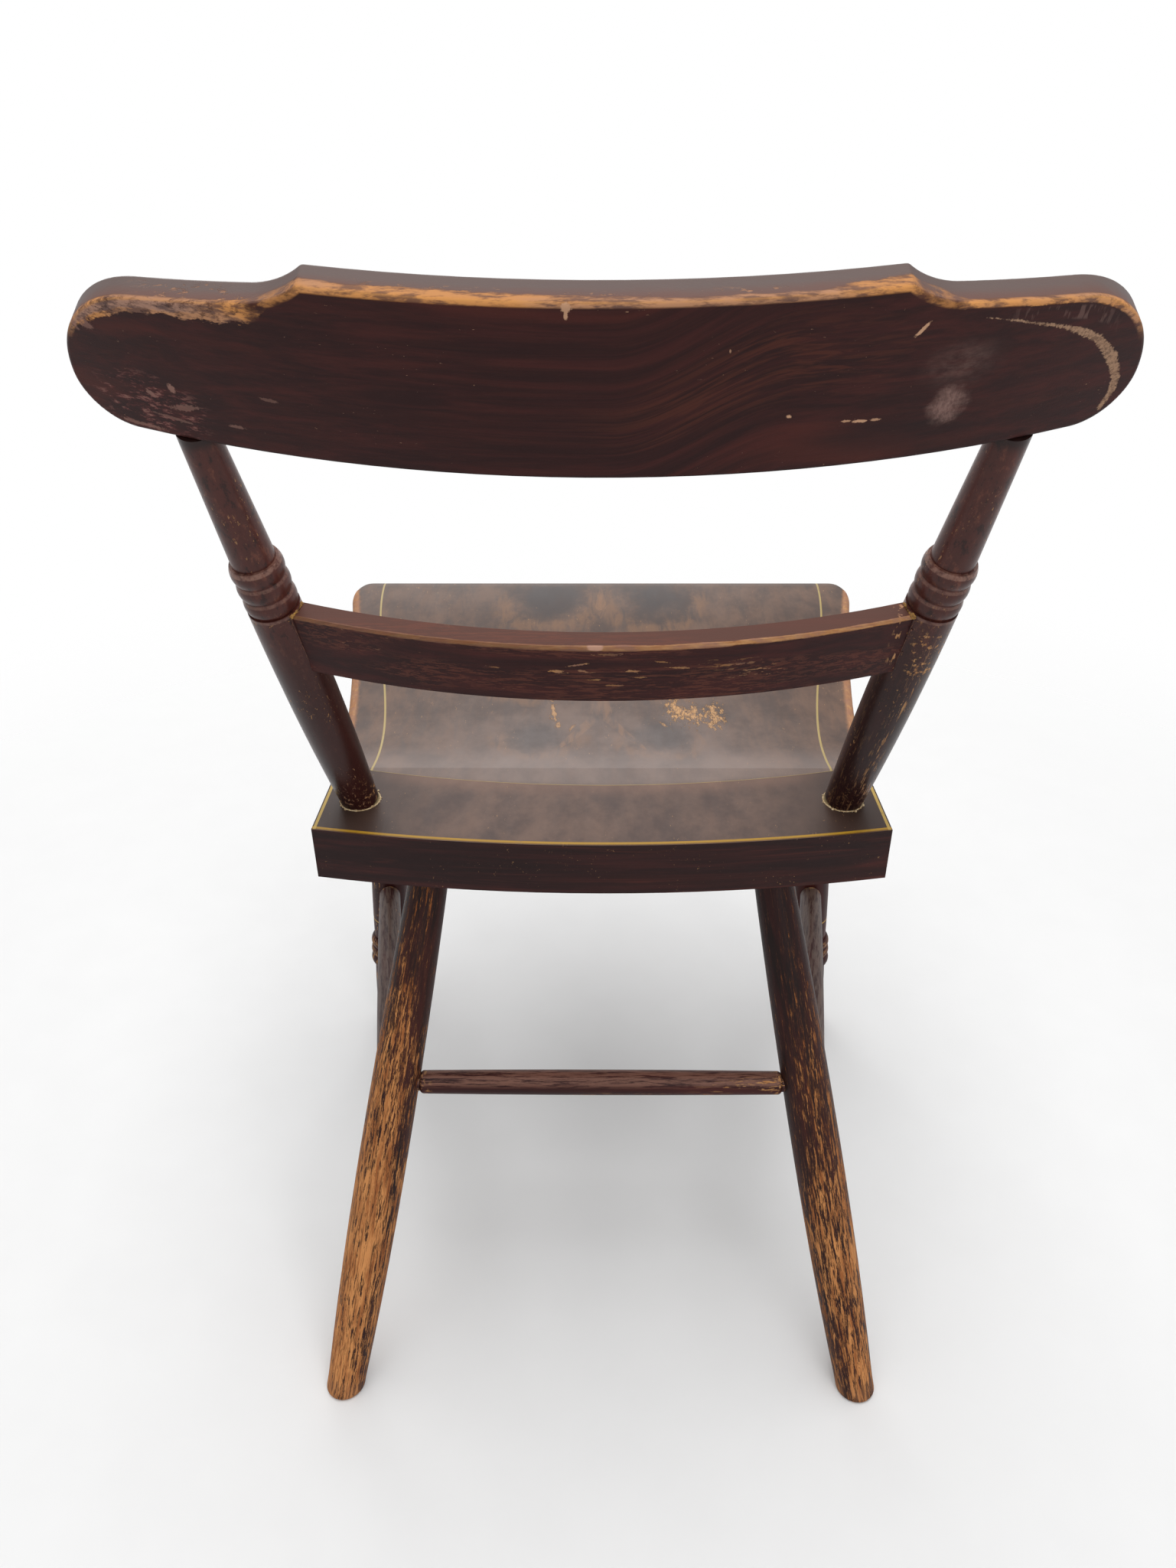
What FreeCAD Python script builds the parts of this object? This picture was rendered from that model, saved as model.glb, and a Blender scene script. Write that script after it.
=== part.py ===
import FreeCAD, Part
import math
import os

import Sketcher
from FreeCAD import Placement, Rotation, Vector

# Painted plank-seat side chair. Millimetres, +Z up, the sitter faces -Y.
# The origin is on the floor, at the middle of the chair's length and width.
# "Left" is the sitter's left, which is +X.

doc = FreeCAD.newDocument("painted_side_chair")
sheet = doc.addObject("Spreadsheet::Sheet", "Sizes")

# Driving dimensions. A reach is measured forward from the middle of the plank's rear edge.
DRIVING = [
    # whole chair
    ("rear_edge_from_origin", 153.22),
    ("seat_height", 443.0),        # top of the plank at the middle of its rear edge
    ("glue_gap", 0.1),             # round tenon in its socket, on the radius, and at coped shoulders
    ("socket_end_gap", 1.0),       # socket deeper than its tenon
    ("cut_overrun", 6.0),
    # seat plank, plan
    ("plank_thickness", 38.3),
    ("seat_depth", 417.6),
    ("front_rise", 11.0),          # the plank's plane climbs this much from rear to front
    ("rear_half_width", 187.5),
    ("rear_edge_bow", 17.6),
    ("ledge_side_length", 57.0),
    ("ledge_half_width", 184.5),
    ("waist_half_width", 197.0),
    ("front_half_width", 228.5),
    ("front_corner_length", 64.0),
    ("front_corner_flare", 11.8),   # the sides still widen this much over that length
    # seat plank, side profile
    ("ledge_depth_at_side", 95.3),
    ("ledge_front_bow", 24.9),
    ("scoop_step", 2.0),
    ("valley_drop", 9.5),
    ("roll_length", 78.0),         # from the roll's start to its crown
    ("nose_radius", 28.0),         # crown to front edge
    ("crown_rise", 5.0),
    ("side_edge_round", 5.0),
    # back posts
    ("post_foot_x", 161.0),
    ("post_foot_reach", 51.9),
    ("post_rake_run", 91.3),       # how far the top lies behind the foot
    ("post_rise", 273.0),          # how far the top lies above the foot
    ("post_foot_radius", 12.6),
    ("post_neck", 7.0),
    ("post_belly_radius", 15.6),
    ("post_belly_at", 130.0),
    ("post_ring_at", 174.8),
    ("post_ring_seat_radius", 15.2),
    ("post_shaft_radius", 12.5),
    ("post_top_radius", 10.1),
    ("post_socket_depth", 28.0),
    ("post_tenon_radius", 5.0),
    ("post_tenon_length", 18.0),
    # ring turnings, three beads in a group
    ("bead_pitch", 10.9),
    ("bead_rise", 1.3),
    ("bead_seat_radius", 14.0),
    ("leg_bead_rise", 1.8),
    ("leg_bead_seat_radius", 16.5),
    # crest rail
    ("crest_bend_radius", 720.5),
    ("crest_thickness", 17.1),
    ("crest_rake_run", 41.3),      # lean of the crest: this much back
    ("crest_rake_rise", 91.1),     # for this much up
    ("crest_height", 95.0),
    ("crest_half_width", 253.5),
    ("crest_overhang", 53.0),      # past the axis of the post
    ("crest_lobe_length", 98.5),   # from the end to the foot of the cove
    ("crest_cove_radius", 47.4),
    ("crest_corner_round", 3.0),
    ("crest_lobe_radius", 50.3),   # upper curve of the lobe; the lower one is a quarter circle
    ("crest_lobe_end_height", 26.5),
    ("crest_lobe_fall", 6.5),      # the lobe's top falls outward this much
    ("crest_lobe_fall_run", 54.2), # over this length
    ("crest_arris_round", 2.2),
    # back slat
    ("slat_bend_radius", 596.0),
    ("slat_thickness", 14.0),
    ("slat_height", 42.2),
    ("slat_at", 153.3),            # middle of the slat, along the post from the seat
    ("slat_arris_bevel", 1.2),
    ("slat_tenon_thickness", 8.0),
    ("slat_tenon_height", 31.0),
    ("slat_tenon_length", 12.5),   # past the surface of the post
    # rear legs
    ("rear_leg_top_x", 114.5),
    ("rear_leg_top_reach", 60.5),
    ("rear_foot_x", 194.3),
    ("rear_foot_back", 80.7),      # behind the rear edge
    ("rear_leg_top_radius", 12.9),
    ("rear_leg_belly_radius", 17.6),
    ("rear_leg_foot_radius", 14.2),
    # front legs
    ("front_leg_top_x", 185.5),
    ("front_leg_top_inset", 88.0),  # behind the front edge
    ("front_foot_x", 219.0),
    ("front_foot_inset", 85.0),
    ("front_leg_top_radius", 12.4),
    ("front_leg_above_ring_radius", 15.0),
    ("front_leg_upper_ring_at", 80.0),
    ("front_leg_belly_radius", 17.6),
    ("front_leg_belly_at", 205.0),
    ("front_leg_ankle_ring_at", 304.0),
    ("front_leg_ankle_radius", 15.2),
    ("front_foot_top_radius", 14.6),
    ("front_foot_radius", 12.4),
    # all legs
    ("leg_neck", 8.0),
    ("leg_socket_depth", 26.0),
    ("foot_length", 10.0),         # plain end of a leg, above the floor
    ("foot_round", 2.5),
    # stretchers
    ("rear_stretcher_height", 236.0),
    ("rear_stretcher_radius", 9.0),
    ("rear_stretcher_end_radius", 8.3),
    ("side_stretcher_rear_height", 212.0),
    ("side_stretcher_front_height", 170.0),
    ("side_stretcher_radius", 10.6),
    ("side_stretcher_end_radius", 9.8),
    ("front_stretcher_height", 262.0),
    ("front_stretcher_radius", 14.0),
    ("front_stretcher_waist_radius", 8.8),
    ("front_stretcher_ring_half", 52.0),
    ("front_stretcher_ring_seat_radius", 11.6),
    ("front_stretcher_end_radius", 8.4),
    ("stretcher_tenon_radius", 6.4),
    ("stretcher_tenon_length", 13.0),
    ("stretcher_shoulder_round", 3.0),
    ("shoulder_ease", 0.5),        # a square shoulder stands this far off the round leg
]

for row, (alias, number) in enumerate(DRIVING, start=1):
    sheet.set(f"A{row}", alias.replace("_", " "))
    sheet.set(f"B{row}", str(number))
    sheet.setAlias(f"B{row}", alias)
doc.recompute()


class Dim:
    """A length that carries its value and the spreadsheet expression that gives it."""

    def __init__(self, value, text):
        self.value = float(value)
        self.text = text

    def __add__(self, other):
        other = as_dim(other)
        return Dim(self.value + other.value, f"({self.text} + {other.text})")

    def __sub__(self, other):
        other = as_dim(other)
        return Dim(self.value - other.value, f"({self.text} - {other.text})")

    def __mul__(self, other):
        other = as_dim(other)
        return Dim(self.value * other.value, f"({self.text} * {other.text})")

    def __truediv__(self, other):
        other = as_dim(other)
        return Dim(self.value / other.value, f"({self.text} / {other.text})")

    def __neg__(self):
        return Dim(-self.value, f"(0 - {self.text})")

    def __rmul__(self, other):
        return as_dim(other) * self

    def squared(self):
        return self * self

    def root(self):
        return Dim(math.sqrt(self.value), f"sqrt({self.text})")


def as_dim(number):
    if isinstance(number, Dim):
        return number
    return Dim(number, repr(float(number)))


SIZE = {alias: Dim(sheet.get(alias), f"Sizes.{alias}") for alias, number in DRIVING}
ZERO = as_dim(0)
HALF = as_dim(0.5)
UNIT = as_dim(1)
LEVEL = (UNIT, ZERO)
UPRIGHT = (ZERO, UNIT)
DIAGONAL_SHARE = math.sqrt(0.5)
WAIST_SHARE = 0.5187           # of the seat's depth, from the rear edge
VALLEY_SHARE = 0.4349
REAR_LEG_BELLY_SHARE = 0.5989  # of the leg's length, down from the plank
BEAD_COUNT = 3
SIDES = (("left", 1), ("right", -1))


# Placing: points and directions worked out from the driving dimensions

def number(alias):
    return SIZE[alias].value


def plane_climb(reach):
    """How far the plank's plane has climbed at this distance in front of its rear edge."""
    return SIZE["front_rise"] * reach / SIZE["seat_depth"]


def seat_frame():
    lean = math.degrees(math.atan2(number("front_rise"), number("seat_depth")))
    rear_edge = Vector(0, number("rear_edge_from_origin"), number("seat_height"))
    return Placement(rear_edge, Rotation(Vector(1, 0, 0), -lean))


def world_y(reach):
    return (SIZE["rear_edge_from_origin"] - reach).value


def post_top_x():
    return SIZE["crest_half_width"] - SIZE["crest_overhang"]


def post_ends(side):
    """Foot of a back post on the ledge, and its top under the crest rail, on the post's axis."""
    reach = SIZE["post_foot_reach"]
    foot_z = (SIZE["seat_height"] + plane_climb(reach)).value
    foot = Vector(side * number("post_foot_x"), world_y(reach), foot_z)
    top = Vector(side * post_top_x().value, foot.y + number("post_rake_run"), foot.z + number("post_rise"))
    return foot, top


def span(across, along, rise):
    """Length of a slanting member from its three runs."""
    return (across.squared() + along.squared() + rise.squared()).root()


def post_length():
    across = post_top_x() - SIZE["post_foot_x"]
    return span(across, SIZE["post_rake_run"], SIZE["post_rise"])


def leg_reaches(name):
    """How far a leg's top and its foot lie in front of the rear edge."""
    if name == "rear":
        return SIZE["rear_leg_top_reach"], -SIZE["rear_foot_back"]
    depth = SIZE["seat_depth"]
    return depth - SIZE["front_leg_top_inset"], depth - SIZE["front_foot_inset"]


def leg_run(name):
    """Runs of a leg from the plank's underside to the floor: across, along and down."""
    top_reach, foot_reach = leg_reaches(name)
    down = SIZE["seat_height"] + plane_climb(top_reach) - SIZE["plank_thickness"]
    across = SIZE[f"{name}_foot_x"] - SIZE[f"{name}_leg_top_x"]
    return across, top_reach - foot_reach, down


def leg_top(name, side):
    down = leg_run(name)[2]
    y = world_y(leg_reaches(name)[0])
    return Vector(side * number(f"{name}_leg_top_x"), y, down.value)


def belly_at(name):
    """Where a leg is thickest, down it from the plank's underside."""
    if name == "rear":
        return span(*leg_run(name)) * REAR_LEG_BELLY_SHARE
    return SIZE["front_leg_belly_at"]


def leg_up(name, side):
    """Unit direction of a leg, from its foot up to the plank."""
    across, along, down = leg_run(name)
    direction = Vector(-side * across.value, -along.value, down.value)
    return direction.normalize()


def on_leg(name, side, height):
    """Point of a leg's axis at this height above the floor, and its distance from the top."""
    across, along, down = leg_run(name)
    share = (down - height) / down
    point = leg_top(name, side)
    point = point - leg_up(name, side) * (span(across, along, down) * share).value
    return point, span(across, along, down) * share


def swell(belly, end, belly_where, end_at, where):
    """Radius of a long swelling member at a distance along it, falling off from its belly."""
    share = (where - belly_where) / (end_at - belly_where)
    return belly - (belly - end) * share * share


# Drawing: sketches whose corners are pinned to expressions

def at(point):
    return Vector(point[0].value, point[1].value, 0)


def arc_middle(start, end, leaving):
    """Middle of the arc that leaves its start in this unit direction and reaches its end."""
    run = end[0] - start[0]
    rise = end[1] - start[1]
    chord = (run.squared() + rise.squared()).root()
    spread = ((run * leaving[0] + rise * leaving[1]) / chord + UNIT) * 2
    x = start[0] + (run + leaving[0] * chord) / spread
    y = start[1] + (rise + leaving[1] * chord) / spread
    return x, y


def pin(sketch, geometry, end, point):
    """Hold one end of an edge, or a construction point, at its place in the sketch."""
    for kind, axis, length in (("DistanceX", -2, point[0]), ("DistanceY", -1, point[1])):
        if length is ZERO:
            sketch.addConstraint(Sketcher.Constraint("PointOnObject", geometry, end, axis))
            continue
        place = Sketcher.Constraint(kind, -1, 1, geometry, end, length.value)
        index = sketch.addConstraint(place)
        sketch.setExpression(f"Constraints[{index}]", length.text)


def draw_loop(sketch, corners):
    """Close a loop of edges. Each corner has the point that its next edge curves through, or None."""
    edges = []
    for index, (start, through) in enumerate(corners):
        end = corners[(index + 1) % len(corners)][0]
        if through is None:
            edge = sketch.addGeometry(Part.LineSegment(at(start), at(end)), False)
        else:
            edge = sketch.addGeometry(Part.Arc(at(start), at(through), at(end)), False)
        forward = (sketch.getPoint(edge, 1) - at(start)).Length < number("glue_gap")
        edges.append((edge, 1 if forward else 2, 2 if forward else 1))
    for index, (start, through) in enumerate(corners):
        edge, begin, finish = edges[index]
        before, unused, joined = edges[index - 1]
        pin(sketch, edge, begin, start)
        sketch.addConstraint(Sketcher.Constraint("Coincident", before, joined, edge, begin))
        if through is not None:
            mark = sketch.addGeometry(Part.Point(at(through)), True)
            pin(sketch, mark, 1, through)
            sketch.addConstraint(Sketcher.Constraint("PointOnObject", mark, 1, edge))


def new_body(name):
    return doc.addObject("PartDesign::Body", name)


def new_sketch(body, name, plane):
    sketch = body.newObject("Sketcher::SketchObject", name)
    support = next(f for f in body.Origin.OriginFeatures if f.Role == plane)
    sketch.AttachmentSupport = [(support, "")]
    sketch.MapMode = "FlatFace"
    return sketch


def padded(body, name, sketch, length, both_ways=False):
    pad = body.newObject("PartDesign::Pad", name)
    pad.Profile = sketch
    pad.SideType = "Symmetric" if both_ways else "One side"
    pad.setExpression("Length", length.text)
    return pad


def pocketed(body, name, sketch, depth, both_ways=False):
    pocket = body.newObject("PartDesign::Pocket", name)
    pocket.Profile = sketch
    pocket.SideType = "Symmetric" if both_ways else "One side"
    pocket.setExpression("Length", depth.text)
    return pocket


def turned(name, corners):
    """A piece turned about its own Z. Corners are (radius, height) from the lower end to the upper."""
    body = new_body(f"{name}_turning")
    sketch = new_sketch(body, f"{name}_profile", "XZ_Plane")
    low = corners[0][0][1]
    high = corners[-1][0][1]
    draw_loop(sketch, [((ZERO, low), None), *corners, ((ZERO, high), None)])
    turning = body.newObject("PartDesign::Revolution", f"{name}_turned")
    turning.Profile = sketch
    turning.ReferenceAxis = (sketch, ["V_Axis"])
    turning.Angle = 360
    return body


def ring_group(start, seat, rise):
    """Three beads side by side, starting this far along a turned piece."""
    pitch = SIZE["bead_pitch"]
    corners = []
    for index in range(BEAD_COUNT):
        low = start + pitch * index
        middle = low + pitch * HALF
        corners.append(((seat, low), (seat + rise, middle)))
    corners.append(((seat, start + pitch * BEAD_COUNT), None))
    return corners


def swelling(start, end, belly_first=False):
    """Corner at the start of a long swelling curve that levels off at its thicker end."""
    thick, thin = (start[0], end[0]) if belly_first else (end[0], start[0])
    middle = thick - (thick - thin) * HALF * HALF
    return (start, (middle, (start[1] + end[1]) * HALF))


def place_on(obj, point, direction):
    """Stand a turned piece or a cutter on its axis, with its seam away from the chair's middle."""
    away = Vector(1 if point.x > 0 else -1, 0, 0)
    if abs(direction.dot(away)) > DIAGONAL_SHARE:
        away = Vector(0, 0, -1)
    obj.Placement = Placement(point, Rotation(away, Vector(), direction, "ZXY"))


def drill(name, radius, depth, mouth, direction):
    """A round cutter that starts outside the mouth and runs this deep past it."""
    cutter = doc.addObject("Part::Cylinder", name)
    cutter.setExpression("Radius", radius.text)
    cutter.setExpression("Height", (depth + SIZE["cut_overrun"]).text)
    place_on(cutter, mouth - direction * number("cut_overrun"), direction)
    return cutter


def cut_away(name, base, cutters):
    tool = cutters[0]
    if len(cutters) > 1:
        tool = doc.addObject("Part::Compound", f"{name}_cutters")
        tool.Links = cutters
    piece = doc.addObject("Part::Cut", name)
    piece.Base = base
    piece.Tool = tool
    return piece


def joined(name, base, added):
    piece = doc.addObject("Part::Fuse", name)
    piece.Base = base
    piece.Tool = added
    return piece


# Bent boards: the crest rail and the back slat

def crest_frame():
    """Frame of the crest: X across, Y out of its back, Z up its face, on its middle thickness."""
    up = Vector(0, number("crest_rake_run"), number("crest_rake_rise")).normalize()
    return board_frame(post_ends(1)[1], up, number("crest_bend_radius"))


def slat_frame():
    foot, top = post_ends(1)
    up = Vector(0, number("post_rake_run"), number("post_rise")).normalize()
    middle = foot + (top - foot) * (SIZE["slat_at"] / post_length()).value
    return board_frame(middle, up, number("slat_bend_radius"))


def board_frame(on_post, up, bend_radius):
    """The bend's middle stands behind the posts by the bow between them."""
    bow = bend_radius - math.sqrt(bend_radius ** 2 - on_post.x ** 2)
    back = Vector(1, 0, 0).cross(up) * -1
    centre = Vector(0, on_post.y, on_post.z) + back * bow
    return Placement(centre, Rotation(Vector(1, 0, 0), back, up, "ZXY"))


def bow_at(radius, bend_radius, half_width):
    """Where an arc of this radius, struck from the bend's centre, lies at half its width."""
    return (radius.squared() - half_width.squared()).root() - bend_radius


def draw_band(sketch, bend_radius, thickness, half_width):
    """A curved band seen from above: its back and its front are arcs from one centre."""
    back = bend_radius + thickness * HALF
    front = bend_radius - thickness * HALF
    back_y = bow_at(back, bend_radius, half_width)
    front_y = bow_at(front, bend_radius, half_width)
    draw_loop(sketch, [
        ((-half_width, back_y), (ZERO, thickness * HALF)),
        ((half_width, back_y), None),
        ((half_width, front_y), (ZERO, -(thickness * HALF))),
        ((-half_width, front_y), None),
    ])


def bent_board(name, bend_radius, thickness, half_width, height):
    body = new_body(name)
    sketch = new_sketch(body, f"{name}_band", "XY_Plane")
    draw_band(sketch, bend_radius, thickness, half_width)
    padded(body, f"{name}_bent", sketch, height, both_ways=True)
    return body


def crest_outline():
    """The crest seen from behind, before its bend: raised middle, coves and round lobes."""
    fall = SIZE["crest_lobe_fall"]
    fall_run = SIZE["crest_lobe_fall_run"]
    slope = (fall.squared() + fall_run.squared()).root()
    radius = SIZE["crest_lobe_radius"]
    end = (SIZE["crest_half_width"], SIZE["crest_lobe_end_height"])
    foot = (end[0] - end[1], ZERO)
    crown = (end[0] - radius + radius * fall / slope, end[1] + radius * fall_run / slope)
    cove_x = end[0] - SIZE["crest_lobe_length"]
    cove = (cove_x, crown[1] + (crown[0] - cove_x) * fall / fall_run)
    hollow = SIZE["crest_cove_radius"]
    corner = SIZE["crest_corner_round"]
    centre = (cove_x + hollow * fall / slope, cove[1] + hollow * fall_run / slope)
    apart = hollow + corner
    below = centre[1] + corner - SIZE["crest_height"]
    raised = (centre[0] - (apart.squared() - below.squared()).root(), SIZE["crest_height"])
    cove_end = (centre[0] + (raised[0] - centre[0]) * hollow / apart, centre[1] - below * hollow / apart)
    half = [
        (foot, arc_middle(foot, end, LEVEL)),
        (end, arc_middle(end, crown, UPRIGHT)),
        (crown, None),
        (cove, arc_middle(cove, cove_end, (-(fall_run / slope), fall / slope))),
        (cove_end, arc_middle(raised, cove_end, LEVEL)),
        (raised, None),
    ]
    corners = list(half)
    for index in range(len(half) - 1, -1, -1):
        point = half[index][0]
        through = half[index - 1][1] if index else None
        mirrored = (-through[0], through[1]) if through else None
        corners.append(((-point[0], point[1]), mirrored))
    return corners


def make_crest():
    over = SIZE["cut_overrun"]
    half_width = SIZE["crest_half_width"] + over
    top = SIZE["crest_height"]
    body = new_body("crest_board")
    band = new_sketch(body, "crest_band", "XY_Plane")
    draw_band(band, SIZE["crest_bend_radius"], SIZE["crest_thickness"], half_width)
    padded(body, "crest_pad", band, (top + over) * 2, both_ways=True)
    frame = new_sketch(body, "crest_sawing", "XZ_Plane")
    wide = half_width + over
    tall = top + over * 2
    draw_loop(frame, [
        ((-wide, -tall), None), ((wide, -tall), None), ((wide, tall), None), ((-wide, tall), None),
    ])
    draw_loop(frame, crest_outline())
    pocketed(body, "crest_sawn", frame, SIZE["crest_bend_radius"], both_ways=True)
    doc.recompute()
    round_over(body, "crest_rounded", board_arrises(body), SIZE["crest_arris_round"])
    body.Placement = crest_frame()
    sockets = []
    for name, side in SIDES:
        foot, top = post_ends(side)
        up = (top - foot).normalize()
        radius = SIZE["post_tenon_radius"] + SIZE["glue_gap"]
        depth = SIZE["post_tenon_length"] + SIZE["socket_end_gap"]
        sockets.append(drill(f"crest_socket_{name}", radius, depth, top, up))
    return cut_away("crest_rail", body, sockets)


def board_arrises(body):
    """Edges that run round the back and the front of a bent board."""
    names = []
    for index, face in enumerate(body.Tip.Shape.Faces, start=1):
        if isinstance(face.Surface, Part.Cylinder) and face.Area > body.Tip.Shape.Area / 4:
            names.append(f"Face{index}")
    return names


def round_over(body, name, references, radius):
    base = body.Tip
    rounding = body.newObject("PartDesign::Fillet", name)
    rounding.Base = (base, references)
    rounding.setExpression("Radius", radius.text)
    return rounding


def make_slat():
    """The back slat: a bent board, coped round the posts, with a thinner tenon at each end."""
    over = SIZE["cut_overrun"]
    bend = SIZE["slat_bend_radius"]
    middle = slat_post_x()
    body = bent_board("slat_board", bend, SIZE["slat_thickness"], middle, SIZE["slat_height"])
    doc.recompute()
    board = body.Tip
    bevel = body.newObject("PartDesign::Chamfer", "slat_eased")
    bevel.Base = (board, long_edges(board.Shape))
    bevel.setExpression("Size", SIZE["slat_arris_bevel"].text)
    body.Placement = slat_frame()
    copes = []
    for name, side in SIDES:
        foot, top = post_ends(side)
        up = (top - foot).normalize()
        low = SIZE["slat_at"] - SIZE["slat_height"]
        radius = SIZE["post_belly_radius"] + SIZE["glue_gap"]
        mouth = foot + up * low.value
        copes.append(drill(f"slat_cope_{name}", radius, SIZE["slat_height"] * 2, mouth, up))
    coped = cut_away("slat_coped", body, copes)
    reach = middle - SIZE["post_belly_radius"] + SIZE["slat_tenon_length"]
    tenon = bent_board("slat_tenons", bend, SIZE["slat_tenon_thickness"], reach,
                       SIZE["slat_tenon_height"])
    tenon.Placement = slat_frame()
    return joined("back_slat", coped, tenon)


def long_edges(shape):
    """The four edges that run the whole length of a bent board."""
    names = []
    for index, edge in enumerate(shape.Edges, start=1):
        if edge.Length > number("slat_height") * 2:
            names.append(f"Edge{index}")
    return names


def slat_post_x():
    """How far a post's axis stands from the middle, at the middle of the slat."""
    share = SIZE["slat_at"] / post_length()
    return SIZE["post_foot_x"] + (post_top_x() - SIZE["post_foot_x"]) * share


def slat_mortises():
    """The cutter for both mortises: the slat's tenons with the glue gap round them."""
    gap = SIZE["glue_gap"]
    reach = slat_post_x() - SIZE["post_belly_radius"] + SIZE["slat_tenon_length"]
    cutter = bent_board("slat_mortises", SIZE["slat_bend_radius"], SIZE["slat_tenon_thickness"] + gap * 2,
                        reach + SIZE["socket_end_gap"], SIZE["slat_tenon_height"] + gap * 2)
    cutter.Placement = slat_frame()
    return cutter


# Seat plank: thick board with a flat ledge behind, a scooped seat and a rolled front edge

def seat_side_profile():
    over = SIZE["cut_overrun"]
    ledge = SIZE["ledge_depth_at_side"]
    scoop = (-ledge, -SIZE["scoop_step"])
    valley = (-(SIZE["seat_depth"] * VALLEY_SHARE), -SIZE["valley_drop"])
    nose = SIZE["nose_radius"]
    crown = (nose - SIZE["seat_depth"], SIZE["crown_rise"])
    roll_start = crown[0] + SIZE["roll_length"]
    forward = (roll_start - valley[0]) / (crown[0] - valley[0])
    roll = (roll_start, valley[1] + (crown[1] - valley[1]) * forward)
    nose_front = (-SIZE["seat_depth"], SIZE["crown_rise"] - nose)
    under = SIZE["plank_thickness"] + nose_front[1]
    nose_mid = (crown[0] - nose * DIAGONAL_SHARE, nose_front[1] + nose * DIAGONAL_SHARE)
    under_share = 1 - DIAGONAL_SHARE
    under_mid = (nose_front[0] + under * under_share, nose_front[1] - under * DIAGONAL_SHARE)
    return [
        ((over, scoop[1]), None),
        (scoop, arc_middle(valley, scoop, LEVEL)),
        (valley, arc_middle(valley, roll, (-LEVEL[0], ZERO))),
        (roll, arc_middle(crown, roll, LEVEL)),
        (crown, nose_mid),
        (nose_front, under_mid),
        ((nose_front[0] + under, -SIZE["plank_thickness"]), None),
        ((over, -SIZE["plank_thickness"]), None),
    ]


def seat_plan():
    """The plank's outline, left square at the front."""
    over = SIZE["cut_overrun"]
    rear = SIZE["rear_half_width"]
    bow = SIZE["rear_edge_bow"]
    ledge = SIZE["ledge_half_width"]
    front = SIZE["front_half_width"]
    front = front + SIZE["front_corner_flare"] * over / SIZE["front_corner_length"]
    ledge_y = -(bow + SIZE["ledge_side_length"])
    front_y = -(SIZE["seat_depth"] + over)
    waist = (SIZE["waist_half_width"], -(SIZE["seat_depth"] * WAIST_SHARE))
    return [
        ((-rear, -bow), (ZERO, ZERO)),
        ((rear, -bow), None),
        ((ledge, ledge_y), waist),
        ((front, front_y), None),
        ((-front, front_y), (-waist[0], waist[1])),
        ((-ledge, ledge_y), None),
    ]


def seat_corner(side):
    """Waste outside one rounded front corner."""
    over = SIZE["cut_overrun"]
    front = SIZE["front_half_width"]
    corner = SIZE["front_corner_length"]
    depth = SIZE["seat_depth"]
    side_x = front - SIZE["front_corner_flare"]
    inner = front - corner
    share = 1 - DIAGONAL_SHARE
    middle_x = front - (SIZE["front_corner_flare"] + corner) * share
    middle_y = corner * share - depth
    out = front + over
    corners = [
        ((side_x, corner - depth), (middle_x, middle_y)),
        ((inner, -depth), None),
        ((inner, -(depth + over)), None),
        ((out, -(depth + over)), None),
        ((out, corner - depth), None),
    ]
    if side > 0:
        return corners
    mirrored = []
    for point, through in corners:
        swung = (-through[0], through[1]) if through else None
        mirrored.append(((-point[0], point[1]), swung))
    return mirrored


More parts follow.
